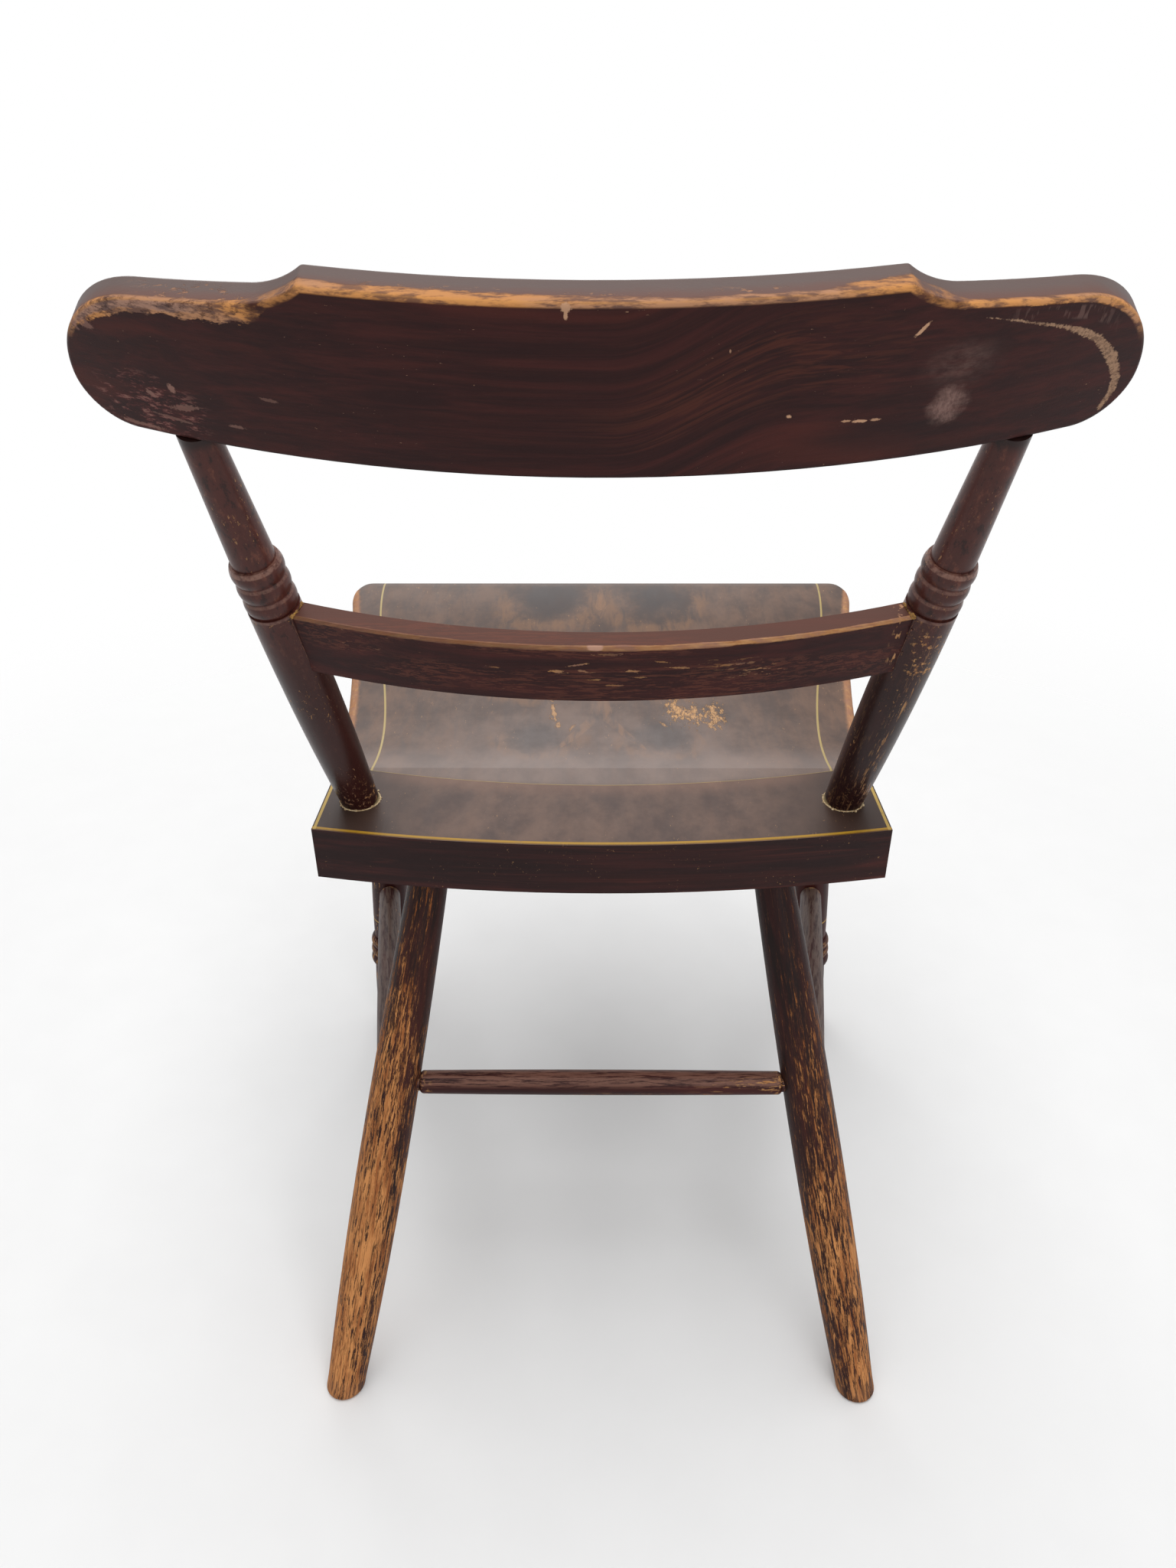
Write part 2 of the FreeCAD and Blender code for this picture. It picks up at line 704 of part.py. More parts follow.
def make_plank():
    over = SIZE["cut_overrun"]
    body = new_body("seat_board")
    side = new_sketch(body, "seat_side_profile", "YZ_Plane")
    draw_loop(side, seat_side_profile())
    wide = SIZE["front_half_width"] + over
    padded(body, "seat_stock", side, wide * 2, both_ways=True)

    plan = new_sketch(body, "seat_plan", "XY_Plane")
    far = SIZE["seat_depth"] + over * 2
    edge = wide + over
    draw_loop(plan, [
        ((-edge, over * 2), None), ((edge, over * 2), None), ((edge, -far), None), ((-edge, -far), None),
    ])
    draw_loop(plan, seat_plan())
    pocketed(body, "seat_sawn", plan, SIZE["plank_thickness"] * 4, both_ways=True)
    doc.recompute()
    round_over(body, "seat_side_rounded", side_edges(body.Tip.Shape), SIZE["side_edge_round"])

    corners = new_sketch(body, "seat_front_corners", "XY_Plane")
    for name, sign in SIDES:
        draw_loop(corners, seat_corner(sign))
    pocketed(body, "seat_corners_sawn", corners, SIZE["plank_thickness"] * 4, both_ways=True)

    ledge = new_sketch(body, "seat_ledge", "XY_Plane")
    ledge_y = -SIZE["ledge_depth_at_side"]
    bow = SIZE["ledge_front_bow"]
    ledge_end = SIZE["ledge_half_width"] + over
    spread = ledge_end / SIZE["ledge_half_width"]
    draw_loop(ledge, [
        ((-ledge_end, over), None),
        ((-ledge_end, ledge_y + bow - bow * spread * spread), (ZERO, ledge_y + bow)),
        ((ledge_end, ledge_y + bow - bow * spread * spread), None),
        ((ledge_end, over), None),
    ])
    raised = padded(body, "seat_ledge_raised", ledge, SIZE["plank_thickness"] * HALF)
    raised.Reversed = True
    pocketed(body, "seat_ledge_sawn", plan, SIZE["plank_thickness"] * 4, both_ways=True)
    body.Placement = seat_frame()
    sockets = []
    for name, side in SIDES:
        foot, top = post_ends(side)
        down = (foot - top).normalize()
        depth = SIZE["post_socket_depth"]
        radius = SIZE["post_foot_radius"] + SIZE["glue_gap"]
        sockets.append(drill(f"post_socket_{name}", radius, depth, foot, down))
        for pair in ("front", "rear"):
            mouth = leg_top(pair, side)
            radius = SIZE[f"{pair}_leg_top_radius"] + SIZE["glue_gap"]
            depth = SIZE["leg_socket_depth"]
            sockets.append(drill(f"{pair}_leg_socket_{name}", radius, depth, mouth, leg_up(pair, side)))
    return cut_away("seat_plank", body, sockets)


def side_edges(shape):
    """Upper edges along both sides of the scooped seat and its roll."""
    names = []
    for index, edge in enumerate(shape.Edges, start=1):
        box = edge.BoundBox
        outside = min(abs(box.XMin), abs(box.XMax)) > number("ledge_half_width")
        scooped = box.YMax < number("glue_gap") - number("ledge_depth_at_side")
        upper = box.ZMin > number("crown_rise") - number("plank_thickness")
        along = box.YLength > number("scoop_step")
        if outside and scooped and upper and along:
            names.append(f"Edge{index}")
    return names


# Turned pieces

def make_post(name, side, mortises):
    foot, top = post_ends(side)
    up = (top - foot).normalize()
    over = SIZE["cut_overrun"]
    length = post_length()
    ring = SIZE["post_ring_at"]
    neck = (SIZE["post_foot_radius"], SIZE["post_neck"])
    belly = (SIZE["post_belly_radius"], SIZE["post_belly_at"])
    below_ring = (SIZE["post_ring_seat_radius"], ring)
    corners = [
        ((SIZE["post_foot_radius"], SIZE["socket_end_gap"] - SIZE["post_socket_depth"]), None),
        swelling(neck, belly),
        swelling(belly, below_ring, belly_first=True),
        (below_ring, None),
        *ring_group(ring, SIZE["bead_seat_radius"], SIZE["bead_rise"]),
        ((SIZE["post_shaft_radius"], ring + SIZE["bead_pitch"] * BEAD_COUNT), None),
        ((SIZE["post_top_radius"], length), None),
        ((SIZE["post_top_radius"], length + over), None),
    ]
    body = turned(f"back_post_{name}", corners)
    place_on(body, foot, up)
    above = doc.addObject("Part::Box", f"above_post_{name}")
    for side_length in ("Length", "Width", "Height"):
        above.setExpression(side_length, (SIZE["crest_height"] * 2).text)
    frame = crest_frame()
    offset = frame.Rotation.multVec(Vector(number("crest_height"), number("crest_height"), 0))
    above.Placement = Placement(top - offset, frame.Rotation)
    shouldered = cut_away(f"back_post_{name}_shouldered", body, [above])
    tenon = drill(f"back_post_{name}_tenon", SIZE["post_tenon_radius"], SIZE["post_tenon_length"], top, up)
    whole = joined(f"back_post_{name}_with_tenon", shouldered, tenon)
    return cut_away(f"back_post_{name}", whole, [mortises])


def leg_profile(pair):
    """Radii of a leg, measured down it from the plank's underside."""
    length = span(*leg_run(pair))
    neck = (SIZE[f"{pair}_leg_top_radius"], SIZE["leg_neck"])
    tenon_end = (neck[0], SIZE["socket_end_gap"] - SIZE["leg_socket_depth"])
    foot_start = length - SIZE["foot_length"]
    foot_end = length + SIZE["foot_length"]
    belly = (SIZE[f"{pair}_leg_belly_radius"], belly_at(pair))
    if pair == "rear":
        foot = SIZE["rear_leg_foot_radius"]
        return [
            (tenon_end, None),
            swelling(neck, belly),
            swelling(belly, (foot, foot_start), belly_first=True),
            ((foot, foot_start), None),
            ((foot, foot_end), None),
        ]
    foot = SIZE["front_foot_radius"]
    seat = SIZE["leg_bead_seat_radius"]
    rise = SIZE["leg_bead_rise"]
    group = SIZE["bead_pitch"] * BEAD_COUNT
    upper = SIZE["front_leg_upper_ring_at"]
    ankle = SIZE["front_leg_ankle_ring_at"]
    above_ring = (SIZE["front_leg_above_ring_radius"], upper)
    below_ring = (SIZE["front_leg_above_ring_radius"], upper + group)
    above_ankle = (SIZE["front_leg_ankle_radius"], ankle)
    foot_top = (SIZE["front_foot_top_radius"], ankle + group)
    return [
        (tenon_end, None),
        swelling(neck, above_ring),
        (above_ring, None),
        *ring_group(upper, seat, rise),
        swelling(below_ring, belly),
        swelling(belly, above_ankle, belly_first=True),
        (above_ankle, None),
        *ring_group(ankle, seat, rise),
        swelling(foot_top, (foot, foot_start), belly_first=True),
        ((foot, foot_start), None),
        ((foot, foot_end), None),
    ]


def leg_radius(pair, where):
    """Radius of a leg where a stretcher meets it, this far down from the plank."""
    belly = SIZE[f"{pair}_leg_belly_radius"]
    thickest = belly_at(pair)
    if pair == "rear":
        return swell(belly, SIZE["rear_leg_top_radius"], thickest, SIZE["leg_neck"], where)
    ring_end = SIZE["front_leg_upper_ring_at"] + SIZE["bead_pitch"] * BEAD_COUNT
    ankle = SIZE["front_leg_ankle_ring_at"]
    if where.value < thickest.value:
        return swell(belly, SIZE["front_leg_above_ring_radius"], thickest, ring_end, where)
    return swell(belly, SIZE["front_leg_ankle_radius"], thickest, ankle, where)


def make_leg(pair, name, side, sockets):
    label = f"{pair}_leg_{name}"
    body = turned(label, leg_profile(pair))
    place_on(body, leg_top(pair, side), leg_up(pair, side) * -1)
    floor = doc.addObject("Part::Box", f"floor_{label}")
    for side_length in ("Length", "Width", "Height"):
        floor.setExpression(side_length, SIZE["seat_height"].text)
    corner = number("seat_height") / 2
    foot = on_leg(pair, side, ZERO)[0]
    floor.Placement.Base = Vector(foot.x - corner, foot.y - corner, -number("seat_height"))
    levelled = cut_away(f"{label}_levelled", body, [floor])
    doc.recompute()
    rounding = doc.addObject("Part::Fillet", f"{label}_foot")
    rounding.Base = levelled
    radius = number("foot_round")
    rims = []
    for index, edge in enumerate(levelled.Shape.Edges, start=1):
        if edge.BoundBox.ZMax < radius / 10:
            rims.append((index, radius, radius))
    rounding.Edges = rims
    return cut_away(label, rounding, sockets)


class Stretcher:
    """A turned bar between two legs. It starts on the axis of its first leg."""

    def __init__(self, label, ends, end_radius):
        self.label = label
        self.end_radius = end_radius
        self.points = []
        self.bites = []
        for pair, side, height in ends:
            point, where = on_leg(pair, side, height)
            self.points.append(point)
            self.bites.append((pair, side, leg_radius(pair, where)))
        self.direction = (self.points[1] - self.points[0]).normalize()
        self.length = stretcher_length(ends)

    def shoulder(self, index):
        """Distance from a leg's axis to the shoulder that meets it."""
        pair, side, radius = self.bites[index]
        lean = self.direction.dot(leg_up(pair, side))
        return radius / math.sqrt(1 - lean ** 2) + SIZE["shoulder_ease"]

    def corners(self, middle):
        """Tenon, eased shoulder, the turned middle, eased shoulder, tenon."""
        first = self.shoulder(0)
        last = self.length - self.shoulder(1)
        radius = self.end_radius
        ease = SIZE["stretcher_shoulder_round"]
        tenon = SIZE["stretcher_tenon_radius"]
        depth = SIZE["stretcher_tenon_length"]
        inner = ease * (1 - DIAGONAL_SHARE)
        return [
            ((tenon, first - depth), None),
            ((tenon, first), None),
            ((radius - ease, first), (radius - inner, first + inner)),
            *middle(first + ease, last - ease),
            ((radius, last - ease), (radius - inner, last - inner)),
            ((radius - ease, last), None),
            ((tenon, last), None),
            ((tenon, last + depth), None),
        ]

    def make(self, middle):
        body = turned(self.label, self.corners(middle))
        place_on(body, self.points[0], self.direction)
        return body

    def socket(self, index):
        """The cutter that makes this bar's socket in one of its legs."""
        way = self.direction * (-1 if index == 0 else 1)
        depth = SIZE["stretcher_tenon_length"] + SIZE["socket_end_gap"]
        radius = SIZE["stretcher_tenon_radius"] + SIZE["glue_gap"]
        mouth = self.points[index] - way * self.shoulder(index).value
        pair, side, unused = self.bites[index]
        side_name = "left" if side > 0 else "right"
        return drill(f"{self.label}_socket_{pair}_{side_name}", radius, depth, mouth, way)


def stretcher_length(ends):
    """Distance between two points on two legs' axes, from the driving dimensions."""
    places = []
    for pair, side, height in ends:
        across, along, down = leg_run(pair)
        share = (down - height) / down
        x = (SIZE[f"{pair}_leg_top_x"] + across * share) * side
        reach = leg_reaches(pair)[0] - along * share
        places.append((x, reach, height))
    runs = [second - first for first, second in zip(*places)]
    return span(*runs)


def plain_middle(end_radius, belly):
    def middle(low, high):
        centre = (low + high) * HALF
        return [
            swelling((end_radius, low), (belly, centre)),
            swelling((belly, centre), (end_radius, high), belly_first=True),
        ]
    return middle


def ringed_middle(end_radius, belly):
    def middle(low, high):
        centre = (low + high) * HALF
        half = SIZE["front_stretcher_ring_half"]
        seat = SIZE["front_stretcher_ring_seat_radius"]
        group = SIZE["bead_pitch"] * BEAD_COUNT
        rise = SIZE["bead_rise"]
        waist = SIZE["front_stretcher_waist_radius"]
        return [
            swelling((end_radius, low), (waist, centre - half - group)),
            ((waist, centre - half - group), None),
            *ring_group(centre - half - group, seat, rise),
            swelling((waist, centre - half), (belly, centre)),
            swelling((belly, centre), (waist, centre + half), belly_first=True),
            ((waist, centre + half), None),
            *ring_group(centre + half, seat, rise),
            swelling((waist, centre + half + group), (end_radius, high), belly_first=True),
        ]
    return middle


def check(objects):
    for obj in objects:
        for word in ("Invalid", "Error"):
            if word in obj.State:
                raise RuntimeError(f"{obj.Label} is {obj.State}")


NODES = {
    "seat_plank": make_plank(),
    "crest_rail": make_crest(),
    "back_slat": make_slat(),
}

rear_height = SIZE["rear_stretcher_height"]
rear_bar = Stretcher(
    "rear_stretcher",
    (("rear", 1, rear_height), ("rear", -1, rear_height)),
    SIZE["rear_stretcher_end_radius"],
)
front_height = SIZE["front_stretcher_height"]
front_bar = Stretcher(
    "front_stretcher",
    (("front", 1, front_height), ("front", -1, front_height)),
    SIZE["front_stretcher_end_radius"],
)
rear_middle = plain_middle(SIZE["rear_stretcher_end_radius"], SIZE["rear_stretcher_radius"])
front_middle = ringed_middle(SIZE["front_stretcher_end_radius"], SIZE["front_stretcher_radius"])
side_middle = plain_middle(SIZE["side_stretcher_end_radius"], SIZE["side_stretcher_radius"])
NODES["rear_stretcher"] = rear_bar.make(rear_middle)
NODES["front_stretcher"] = front_bar.make(front_middle)

mortises = slat_mortises()
for index, (name, side) in enumerate(SIDES):
    side_bar = Stretcher(
        f"side_stretcher_{name}",
        (("rear", side, SIZE["side_stretcher_rear_height"]),
         ("front", side, SIZE["side_stretcher_front_height"])),
        SIZE["side_stretcher_end_radius"],
    )
    NODES[f"side_stretcher_{name}"] = side_bar.make(side_middle)
    NODES[f"back_post_{name}"] = make_post(name, side, mortises)
    rear_sockets = [rear_bar.socket(index), side_bar.socket(0)]
    front_sockets = [front_bar.socket(index), side_bar.socket(1)]
    NODES[f"rear_leg_{name}"] = make_leg("rear", name, side, rear_sockets)
    NODES[f"front_leg_{name}"] = make_leg("front", name, side, front_sockets)

doc.recompute()
check(doc.Objects)

os.makedirs("parts", exist_ok=True)
whole = FreeCAD.BoundBox()
for label, obj in NODES.items():
    shape = obj.Shape
    if shape.isNull() or not shape.isValid() or len(shape.Solids) != 1:
        raise RuntimeError(f"{label}: {len(shape.Solids)} solids, valid {shape.isValid()}")
    obj.Label = label
    shape.exportStep(f"parts/{label}.step")
    box = shape.optimalBoundingBox(False, False)
    whole.add(box)
    print(f"{label}: {box.XLength:.1f} x {box.YLength:.1f} x {box.ZLength:.1f} mm, "
          f"{shape.Volume / 1000:.1f} cm3")
print(f"whole: {whole.XLength:.2f} x {whole.YLength:.2f} x {whole.ZLength:.2f} mm, "
      f"centre {whole.Center.x:.3f}, {whole.Center.y:.3f}, lowest {whole.ZMin:.3f}")
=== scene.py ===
import math

import bpy
from mathutils import Matrix, Vector


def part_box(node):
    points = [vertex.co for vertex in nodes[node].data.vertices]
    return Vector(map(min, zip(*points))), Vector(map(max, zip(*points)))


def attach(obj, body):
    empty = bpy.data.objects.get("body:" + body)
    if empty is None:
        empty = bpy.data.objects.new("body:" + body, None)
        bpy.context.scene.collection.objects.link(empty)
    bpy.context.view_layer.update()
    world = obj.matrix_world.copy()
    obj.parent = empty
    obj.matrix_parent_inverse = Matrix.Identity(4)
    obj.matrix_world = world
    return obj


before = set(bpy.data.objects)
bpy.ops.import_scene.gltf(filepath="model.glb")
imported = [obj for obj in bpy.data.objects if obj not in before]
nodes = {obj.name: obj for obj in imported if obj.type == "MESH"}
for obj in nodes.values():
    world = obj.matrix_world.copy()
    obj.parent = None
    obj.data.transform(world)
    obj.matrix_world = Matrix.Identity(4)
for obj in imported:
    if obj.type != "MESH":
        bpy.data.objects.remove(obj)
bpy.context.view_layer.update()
for node in nodes.values():
    node.data.materials.clear()
print("frame loaded:", len(nodes), "wooden pieces")


# Camera: the back view from a little above the crest

photo = {
    "heightPx": 2049, "focalPx": 1620, "sensorHeight": 24,
    "position": (0.0026, 0.8023, 0.8852), "yaw": 0.51, "pitch": 31.42, "roll": -0.19,
}


def added(name, data):
    # a new object in the scene
    made = bpy.data.objects.new(name, data)
    bpy.context.scene.collection.objects.link(made)
    return made


def makeCamera():
    yaw, pitch, roll = (math.radians(photo[turn]) for turn in ("yaw", "pitch", "roll"))
    forward = Vector((math.sin(yaw) * math.cos(pitch), -math.cos(yaw) * math.cos(pitch), -math.sin(pitch)))
    right = forward.cross(Vector((0, 0, 1))).normalized()
    up = right.cross(forward)
    across = math.cos(roll) * right + math.sin(roll) * up
    upright = -math.sin(roll) * right + math.cos(roll) * up
    lens = bpy.data.cameras.new("photoLens")
    lens.sensor_fit = "VERTICAL"
    lens.sensor_height = photo["sensorHeight"]
    lens.lens = photo["focalPx"] / photo["heightPx"] * photo["sensorHeight"]
    lens.clip_start = 0.01
    camera = added("photoCamera", lens)
    facing = Matrix((across, upright, -forward)).transposed().to_4x4()
    camera.matrix_world = Matrix.Translation(photo["position"]) @ facing
    bpy.context.scene.camera = camera


makeCamera()
print("camera set")


# Shader sums: a Wire is one socket, and sums of Wires add their Math nodes

def joined(operation, swapped=False):
    if swapped:
        return lambda self, other: self.sum(operation, other, self)
    return lambda self, *others: self.sum(operation, self, *others)


class Wire:
    def __init__(self, tree, socket=None):
        self.tree = tree
        self.socket = socket

    def node(self, kind, settings=None, inputs=None, out=0):
        made = self.tree.nodes.new(kind)
        for name, value in (settings or {}).items():
            setattr(made, name, value)
        for name, value in (inputs or {}).items():
            if isinstance(value, Wire):
                self.tree.links.new(value.socket, made.inputs[name])
            else:
                made.inputs[name].default_value = value
        return Wire(self.tree, made.outputs[out] if made.outputs else None)

    def sum(self, operation, *values):
        return self.node("ShaderNodeMath", {"operation": operation}, dict(enumerate(values)))

    __add__, __radd__ = joined("ADD"), joined("ADD", True)
    __sub__, __rsub__ = joined("SUBTRACT"), joined("SUBTRACT", True)
    __mul__, __rmul__ = joined("MULTIPLY"), joined("MULTIPLY", True)
    __abs__, root, sine = joined("ABSOLUTE"), joined("SQRT"), joined("SINE")
    least, most = joined("MINIMUM"), joined("MAXIMUM")

    def __neg__(self):
        return self * -1

    def rise(self, low, high):
        # 0 at low, 1 at high, smooth between; high may be the smaller
        settings = {"interpolation_type": "SMOOTHSTEP"}
        inputs = {"Value": self, "From Min": low, "From Max": high, "To Min": 0, "To Max": 1}
        return self.node("ShaderNodeMapRange", settings, inputs)

    def within(self, width, soft):
        # 1 where the value lies within width of 0
        return abs(self).rise(width + soft, width)

    def blend(self, first, second):
        # colour between two, by this factor
        settings = {"data_type": "RGBA", "blend_type": "MIX", "clamp_factor": True}
        return self.node("ShaderNodeMix", settings, {0: self, 6: first, 7: second}, out=2)

    def stretched(self, across, along, up):
        # a vector scaled along each axis
        inputs = {0: self, 1: (across, along, up)}
        return self.node("ShaderNodeVectorMath", {"operation": "MULTIPLY"}, inputs)

    def shifted(self, amount):
        return self.node("ShaderNodeVectorMath", {"operation": "ADD"}, {0: self, 1: amount})

    def clamped(self):
        return self.least(1).most(0)

    def cloud(self, size, detail=2, rough=0.5, bent=0):
        # noise about 0.5, its lumps about this many millimetres wide
        inputs = {"Vector": self, "Scale": 1 / size, "Detail": detail}
        inputs.update({"Roughness": rough, "Distortion": bent})
        return self.node("ShaderNodeTexNoise", {"noise_dimensions": "3D"}, inputs)

    def uneven(self, size, detail, rough=0.5):
        # the same about 0
        return self.cloud(size, detail, rough) - 0.5

    def parts(self):
        split = self.tree.nodes.new("ShaderNodeSeparateXYZ")
        self.tree.links.new(self.socket, split.inputs[0])
        return [Wire(self.tree, split.outputs[axis]) for axis in range(3)]


def shade(red, green, blue):
    # a picture's colour, 0 to 255, made linear
    linear = []
    for value in (red, green, blue):
        share = value / 255
        linear.append(share / 12.92 if share <= 0.04045 else ((share + 0.055) / 1.055) ** 2.4)
    return (*linear, 1)


def dress(name, finish):
    nodes[name].data.materials.append(finish)


def startFinish(name):
    material = bpy.data.materials.new(name)
    material.use_nodes = True
    material.node_tree.nodes.clear()
    return material, Wire(material.node_tree)


def surfacePoint(start, origin=(0, 0, 0), turn=(0, 0, 0)):
    # the surface's point in a piece's frame, in millimetres
    point = start.node("ShaderNodeTexCoord", out="Object")
    settings = {"vector_type": "TEXTURE"}
    inputs = {"Vector": point, "Location": origin, "Rotation": turn, "Scale": (0.001, 0.001, 0.001)}
    return start.node("ShaderNodeMapping", settings, inputs)


def facing(start):
    # which way the surface faces, in the chair's frame
    return start.node("ShaderNodeNewGeometry", out="Normal").parts()


def endFinish(material, start, colour, roughness, height=None, depth=0.0002, metal=None, fixed=None,
              alpha=None):
    shader = start.tree.nodes.new("ShaderNodeBsdfPrincipled")
    for name, value in (fixed or {}).items():
        shader.inputs[name].default_value = value
    given = {"Base Color": colour, "Roughness": roughness, "Metallic": metal, "Alpha": alpha}
    if height is not None:
        bumps = {"Strength": 1, "Distance": depth, "Height": height}
        given["Normal"] = start.node("ShaderNodeBump", None, bumps)
    for name, wire in given.items():
        if wire is not None:
            start.tree.links.new(wire.socket, shader.inputs[name])
    output = start.tree.nodes.new("ShaderNodeOutputMaterial")
    start.tree.links.new(shader.outputs[0], output.inputs[0])
    return material


# Paint: the dark red-brown graining that covers the frame

paint = {
    "dark": shade(40, 17, 17), "brown": shade(62, 27, 25), "red": shade(84, 36, 28),
    "dustAndSheen": shade(92, 78, 74), "bare": shade(172, 118, 70), "bareLight": shade(204, 156, 104),
    "barePink": shade(150, 110, 92), "ochre": shade(160, 124, 58), "cream": shade(190, 172, 128),
    "gold": shade(186, 146, 78), "bronze": shade(74, 50, 28),
}
sheens = {
    "frame": {"Specular IOR Level": 0.13}, "post": {"Specular IOR Level": 0.26},
    "seat": {"Specular IOR Level": 0.17},
}


def grainedPaint(point, stretch):
    # dark streaks with redder ones between them, drawn out along the piece
    long = point.stretched(*stretch)
    streaks = long.cloud(9, detail=5, rough=0.65, bent=0.4)
    broad = long.cloud(34, detail=2, rough=0.5, bent=0.8)
    colour = streaks.rise(0.38, 0.72).blend(paint["dark"], paint["brown"])
    return (broad.rise(0.52, 0.74) * 0.55).blend(colour, paint["red"]), streaks


def bareWood(point, stretch):
    long = point.stretched(*stretch)
    fibre = long.cloud(2.2, detail=4, rough=0.7)
    colour = fibre.rise(0.3, 0.7).blend(paint["bare"], paint["bareLight"])
    return (long.cloud(26).rise(0.45, 0.7) * 0.7).blend(colour, paint["barePink"])


def nicks(point, size, keep):
    # scattered small chips, as a mask
    broken = point.cloud(size, detail=3, rough=0.75)
    patches = point.shifted((31, 17, 5)).cloud(size * 11, detail=1)
    return broken.rise(keep, keep + 0.04) * patches.rise(0.48, 0.62)


def strokes(x, z, marks, fray):
    # short scratches and chips: middle, turn, half length, half width, strength
    mask = None
    for place, turn, long, wide, strength in marks:
        cos, sin = math.cos(math.radians(turn)), math.sin(math.radians(turn))
        along = (x - place[0]) * (cos / long) + (z - place[1]) * (sin / long)
        across = (z - place[1]) * (cos / wide) - (x - place[0]) * (sin / wide)
        one = ((along * along + across * across).root() + fray).rise(1.3, 0.8) * strength
        mask = one if mask is None else mask.most(one)
    return mask


def trail(x, z, marks, fray):
    # a scrape through places, each with its half width
    mask = None
    for (startX, startZ, startWide), (endX, endZ, endWide) in zip(marks, marks[1:]):
        spanX, spanZ = endX - startX, endZ - startZ
        long = spanX * spanX + spanZ * spanZ
        fromX, fromZ = x - startX, z - startZ
        along = (fromX * (spanX / long) + fromZ * (spanZ / long)).clamped()
        offX, offZ = fromX - along * spanX, fromZ - along * spanZ
        away = (offX * offX + offZ * offZ).root() - along * (endWide - startWide) - startWide
        one = (away - fray).rise(0.5, -0.3)
        mask = one if mask is None else mask.most(one)
    return mask


# Crest rail

crest = {
    "origin": (0, 0.218540, 0.705616), "lean": -24.387, "bend": 720.5, "half": 8.55, "height": 95,
    "lobeCentre": (203.2, 26.5), "lobeRadius": 50.3, "crownAt": 209.2, "lobeSlope": 0.12,
    "coveCentre": (160.6, 130), "coveRadius": 47.4, "coveFoot": 155, "border": 7.5, "line": 0.75,
    "graining": {"middle": -44, "reach": 42, "climb": 34},
    # ovals: middle, half width, half height
    "figure": ((-66, 30), 78, 26), "darkPatch": ((-132, 17), 42, 11),
    "rubbed": ((216, 17), 28, 19), "smudge": ((-158, 30), 8, 10.5),
    "haze": ((-160, 52), 19, 13),
    # paint worn off below the arris: everywhere, more on each lobe
    "worn": {"depth": 1.3, "leftEnd": 5.4, "leftLobe": 3, "rightLobe": 1.4},
    # marks: middle, turn, half length, half width, strength
    "scuffs": [
        ((202, 30), 70, 2.4, 1.6, 1), ((214, 25), 30, 2.6, 1.3, 0.8),
        ((198, 20), -12, 7, 1.6, 0.6), ((224, 4), 4, 10, 1.2, 0.7),
        ((243, 58), 60, 4, 1.3, 0.8), ((236, 58), 20, 3.4, 2.2, 0.7),
        ((206, 12), 8, 9, 0.8, 0.5), ((174, 14), 2, 4, 1, 0.6),
        ((154, 33), 6, 4, 0.8, 0.45),
    ],
    "chips": [
        ((-137, 72.5), 128, 4, 0.8, 1), ((16, 92.5), 90, 1.8, 2.2, 0.9),
        ((16, 89.5), 90, 2.6, 0.8, 0.9), ((-84, 33), 5, 1.2, 0.9, 1),
        ((-118, 26.5), 4, 3.4, 0.8, 1), ((-111, 27.4), 3, 2, 0.6, 0.8),
        ((-125, 26.4), 2, 2.4, 0.7, 0.8), ((-54, 70), 80, 1, 0.5, 0.6),
    ],
    # the scrape's places, each with its half width
    "scrape": [
        (-165.4, 74.2, -0.1), (-179.3, 70.6, 0.3), (-189.8, 67.1, 0.5), (-200.9, 63.7, 0.7),
        (-212.3, 58.9, 1.2), (-225, 51.2, 1.9), (-235.3, 39.6, 2.4), (-242.6, 25.6, 1.9),
        (-243.4, 17.7, 1.8), (-240.4, 9.2, 1.2),
    ],
    # stencil on each half of the front: middle, turn, half length and half width of a leaf
    "leaves": [
        ((38, 60), 18, 19, 6.5), ((40, 38), -14, 19, 6.5), ((66, 66), 30, 17, 5.5),
        ((70, 44), -4, 20, 6), ((68, 25), -28, 16, 5), ((97, 55), 12, 17, 5),
        ((96, 36), -16, 15, 4.6), ((122, 46), 4, 13, 3.8), ((182, 44), 26, 17, 5.4),
        ((180, 26), -18, 16, 5), ((208, 38), 6, 15, 4.6), ((160, 36), 4, 12, 3.6),
    ],
    # fruits: middle and radius
    "fruits": [
        ((0, 50), 13.5), ((20, 56), 9), ((18, 37), 8.5), ((9, 70), 7),
        ((7, 26), 7.5),
    ],
    # colours
    "figureTint": shade(84, 42, 30), "darkPatchTint": shade(24, 14, 16), "underside": shade(18, 9, 9),
    "upperTintAndSheenAtArris": shade(98, 70, 62), "bareDark": shade(118, 82, 62), "bareLight": shade(204, 142, 84),
    "greyDark": shade(104, 84, 82), "greyLight": shade(158, 128, 118), "bareArris": shade(196, 140, 80),
    "bareTopShade": shade(104, 78, 66), "hairs": shade(112, 60, 58), "smudgeTint": shade(138, 108, 100),
    "scuffTint": shade(150, 112, 100), "scrapeTint": shade(168, 134, 108),
    "chipTint": shade(190, 148, 118),
}


def throughBoard(x, y, bend):
    # place in a bent board's thickness: 0 on its middle line, more towards the back
    away = y + bend
    return (x * x + away * away).root() - bend


def oval(x, z, middle, wide, high):
    # distance out from a middle, 1 on the rim of the oval
    across, along = (x - middle[0]) * (1 / wide), (z - middle[1]) * (1 / high)
    return (across * across + along * along).root()


